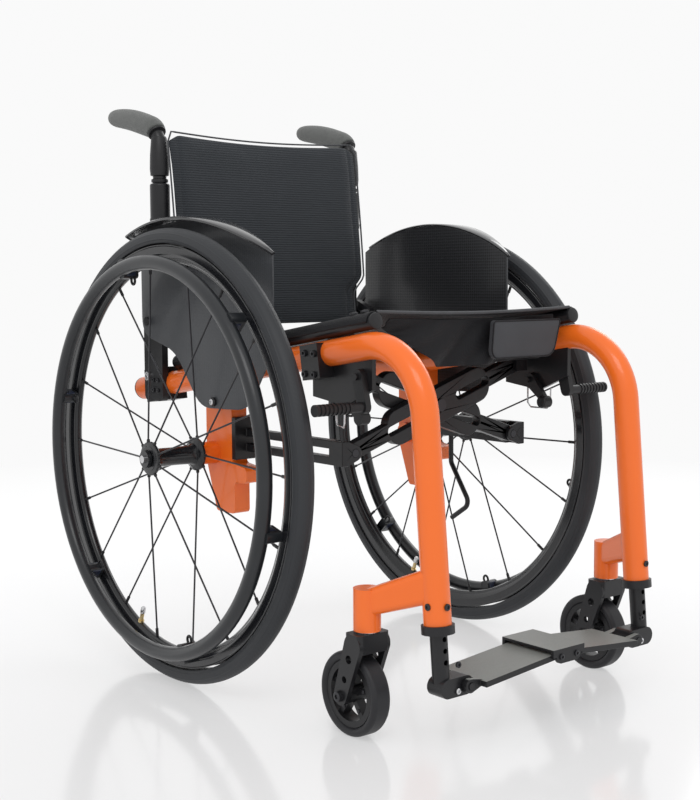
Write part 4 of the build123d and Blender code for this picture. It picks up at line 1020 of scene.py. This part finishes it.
def make_frame_bolts(name, side):
    """Screws on the bracket, guard, locks and footrest that stay with the frame."""
    bright, dark = bmesh.new(), bmesh.new()
    outward = Vector((side, 0, 0))
    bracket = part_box(f"{name}_back_bracket")
    face = side * max(abs(bracket[0].x), abs(bracket[1].x))
    for dy, z in ((0.002, CANE.z), (0.002, CANE.z - 0.087)):
        add_bolt(bright, (face, CANE.y + dy, z), outward, 0.0062, 0.0042)
    for dy in (-0.022, -0.010):
        for dz in (-0.092, -0.106):
            add_bolt(dark, (face, CANE.y + dy, CANE.z + dz), outward, 0.0030, 0.0020)
    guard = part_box(f"{name}_side_guard")
    inner = min(abs(guard[0].x), abs(guard[1].x))
    bolt_y = AXLE.y - 0.033
    add_bolt(bright, (side * (inner + 0.0060), bolt_y, 0.368), outward, 0.0042, 0.0024)
    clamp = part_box(f"{name}_lock_clamp")
    clamp_face = side * max(abs(clamp[0].x), abs(clamp[1].x))
    block = AXLE.y - 0.222
    for dy in (-0.009, 0.009):
        add_bolt(dark, (clamp_face, block + dy, 0.438), outward, 0.0042, 0.0030)
        add_bolt(dark, (clamp_face, block + dy, 0.413), outward, 0.0042, 0.0030)
    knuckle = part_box(f"{name}_footrest_tube")
    for z in (0.070, 0.100):
        mesh = bright if z < 0.08 else dark
        add_bolt(mesh, (side * 0.160, knuckle[0].y + 0.0085, z), (0, -1, 0), 0.0036, 0.0024)
    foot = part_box(f"{name}_frame_tube")
    add_bolt(dark, (side * 0.173, foot[0].y + 0.0010, 0.166), (0, -1, 0), 0.0040, 0.0016)
    add_bolt(dark, (side * 0.1885, foot[0].y + 0.0150, 0.166), outward, 0.0040, 0.0016)
    piece(f"{name}_bright_bolts", bright, STEEL, f"{name}_frame")
    piece(f"{name}_dark_bolts", dark, DARK_STEEL, f"{name}_frame")


def make_head_washer(name, side):
    """Bright washer and seal between the head tube and the caster fork."""
    swivel = joint_place(f"{name}_caster_swivel")
    bm = bmesh.new()
    add_turned(bm, (swivel.x, swivel.y, swivel.z - 0.0018), (0, 0, 1), [(0, 0.0120), (0.0002, 0.0128),
                                                                    (0.0014, 0.0128), (0.0016, 0.0120)], 36)
    piece(f"{name}_head_washer", bm, STEEL, f"{name}_caster_fork")


def make_caster_caps(name, side):
    """Domed caps on the caster's axle and bolt circle on its wheel."""
    spin = joint_place(f"{name}_caster_spin")
    low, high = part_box(f"{name}_caster_axle")
    caps, bolts = bmesh.new(), bmesh.new()
    for x, way in ((low.x, -1), (high.x, 1)):
        add_bolt(caps, (x, spin.y, spin.z), (way, 0, 0), 0.0058, 0.0022)
    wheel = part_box(f"{name}_caster_wheel")
    for x, way in ((wheel[0].x + 0.0093, -1), (wheel[1].x - 0.0093, 1)):
        for k in range(5):
            a = math.radians(90 + 72 * k)
            spot = (x, spin.y + math.cos(a) * 0.0225, spin.z + math.sin(a) * 0.0225)
            add_turned(bolts, spot, (way, 0, 0), [(0, 0.0026), (0.0008, 0.0026), (0.0014, 0.0016)], 12)
    piece(f"{name}_caster_axle_caps", caps, DARK_STEEL, f"{name}_caster_fork")
    piece(f"{name}_caster_rivets", bolts, DARK_STEEL, f"{name}_caster_wheel")


def make_lock_spring(name, side):
    """Bright wire of the lock's spring, below its base plate."""
    lever = joint_place(f"{name}_lock_lever_turn")
    x = side * 0.1674
    bm = bmesh.new()
    y0, z0 = lever.y - 0.020, lever.z - 0.020
    points = [(x, y0 + 0.030, z0 + 0.012), (x, y0 + 0.030, z0 - 0.012),
              (x + side * 0.002, y0 + 0.026, z0 - 0.018),
              (x + side * 0.010, y0 + 0.004, z0 - 0.019), (x + side * 0.012, y0, z0 - 0.014),
              (x + side * 0.012, y0 - 0.001, z0 + 0.008)]
    add_tube(bm, points, 0.0011, 8)
    piece(f"{name}_lock_spring", bm, STEEL, f"{name}_frame")


def make_link_bolts():
    """Two screws on the front of the footplate's link."""
    bm = bmesh.new()
    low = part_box("foot_link")[0]
    place = joint_place("foot_link_fold")
    for x in (place.x, -place.x):
        add_bolt(bm, (x, low.y, place.z), (0, -1, 0), 0.0036, 0.0018)
    piece("foot_link_bolts", bm, DARK_STEEL, "foot_link")


# ------------------------------------------------------------------ stage, lights and camera
def floor_white():
    """Glossy white under the chair that turns into the surround's plain white further out."""
    made = surface("floor_white", (0.32, 0.32, 0.325), (0.34, 0.34, 0.345), 0.13, mottle=2.0, grain=60.0,
                   depth=0.00001, Emission_Color=(1.0, 1.0, 1.0, 1.0), Emission_Strength=0.47,
                   Specular_IOR_Level=0.35)
    nodes, links, bsdf, coords = parts_of(made)
    away = nodes.new("ShaderNodeVectorMath")
    away.operation = "LENGTH"
    links.new(coords.outputs["Object"], away.inputs[0])
    share = nodes.new("ShaderNodeMapRange")
    share.inputs["From Min"].default_value = 0.9
    share.inputs["From Max"].default_value = 2.2
    links.new(away.outputs["Value"], share.inputs["Value"])
    plain = nodes.new("ShaderNodeEmission")
    plain.inputs["Color"].default_value = (SURROUND, SURROUND, SURROUND, 1.0)
    mixed = nodes.new("ShaderNodeMixShader")
    links.new(share.outputs["Result"], mixed.inputs["Fac"])
    links.new(bsdf.outputs["BSDF"], mixed.inputs[1])
    links.new(plain.outputs["Emission"], mixed.inputs[2])
    output = [n for n in nodes if n.bl_idname == "ShaderNodeOutputMaterial"][0]
    links.new(mixed.outputs["Shader"], output.inputs["Surface"])
    return made


def make_stage():
    """Glossy white studio floor that runs out to a white surround."""
    bm = bmesh.new()
    bmesh.ops.create_grid(bm, x_segments=1, y_segments=1, size=40.0)
    data = bpy.data.meshes.new("floor")
    bm.to_mesh(data)
    bm.free()
    floor = bpy.data.objects.new("floor", data)
    bpy.context.scene.collection.objects.link(floor)
    data.materials.append(floor_white())
    world = bpy.data.worlds.new("studio")
    world.use_nodes = True
    world.node_tree.nodes["Background"].inputs["Color"].default_value = (1.0, 1.0, 1.0, 1.0)
    world.node_tree.nodes["Background"].inputs["Strength"].default_value = SURROUND
    bpy.context.scene.world = world


def add_light(name, place, aim, size, power):
    lamp = bpy.data.lights.new(name, "AREA")
    lamp.shape = "RECTANGLE"
    lamp.size, lamp.size_y = size
    lamp.energy = power
    thing = bpy.data.objects.new(name, lamp)
    thing.location = place
    thing.rotation_euler = (Vector(place) - Vector(aim)).to_track_quat("Z", "Y").to_euler()
    bpy.context.scene.collection.objects.link(thing)


def make_camera():
    a, e, roll = (math.radians(v) for v in (CAMERA_AZIMUTH, CAMERA_ELEVATION, CAMERA_ROLL))
    back = Vector((math.sin(a) * math.cos(e), -math.cos(a) * math.cos(e), math.sin(e)))
    level = Vector((math.cos(a), math.sin(a), 0))
    upright = back.cross(level)
    right = level * math.cos(roll) + upright * math.sin(roll)
    up = upright * math.cos(roll) - level * math.sin(roll)
    data = bpy.data.cameras.new("camera")
    data.lens = CAMERA_LENS
    data.sensor_width = SENSOR
    data.sensor_fit = "HORIZONTAL"
    thing = bpy.data.objects.new("camera", data)
    thing.matrix_world = Matrix.Translation(CAMERA_PLACE) @ Matrix((right, up, back)).transposed().to_4x4()
    bpy.context.scene.collection.objects.link(thing)
    bpy.context.scene.camera = thing


# ------------------------------------------------------------------ the whole chair
make_camera()
dress_cad_nodes()
for side_name, side_sign in SIDES:
    for make in (make_tyre, make_rim, make_hub, make_spoke_ends, make_tabs, make_valve, make_grip,
                 make_cane_sleeves, make_rail_caps, make_frame_bolts, make_head_washer, make_caster_caps,
                 make_lock_spring, make_guard):
        make(side_name, side_sign)
make_back()
make_seat()
make_link_bolts()
make_stage()
add_light("key", (-1.6, -1.8, 2.6), (0, 0, 0.4), (1.8, 1.2), 24)
add_light("rim_light", (2.2, 0.6, 1.8), (0, 0, 0.5), (1.0, 1.6), 12)
bpy.context.scene.view_settings.view_transform = "Standard"
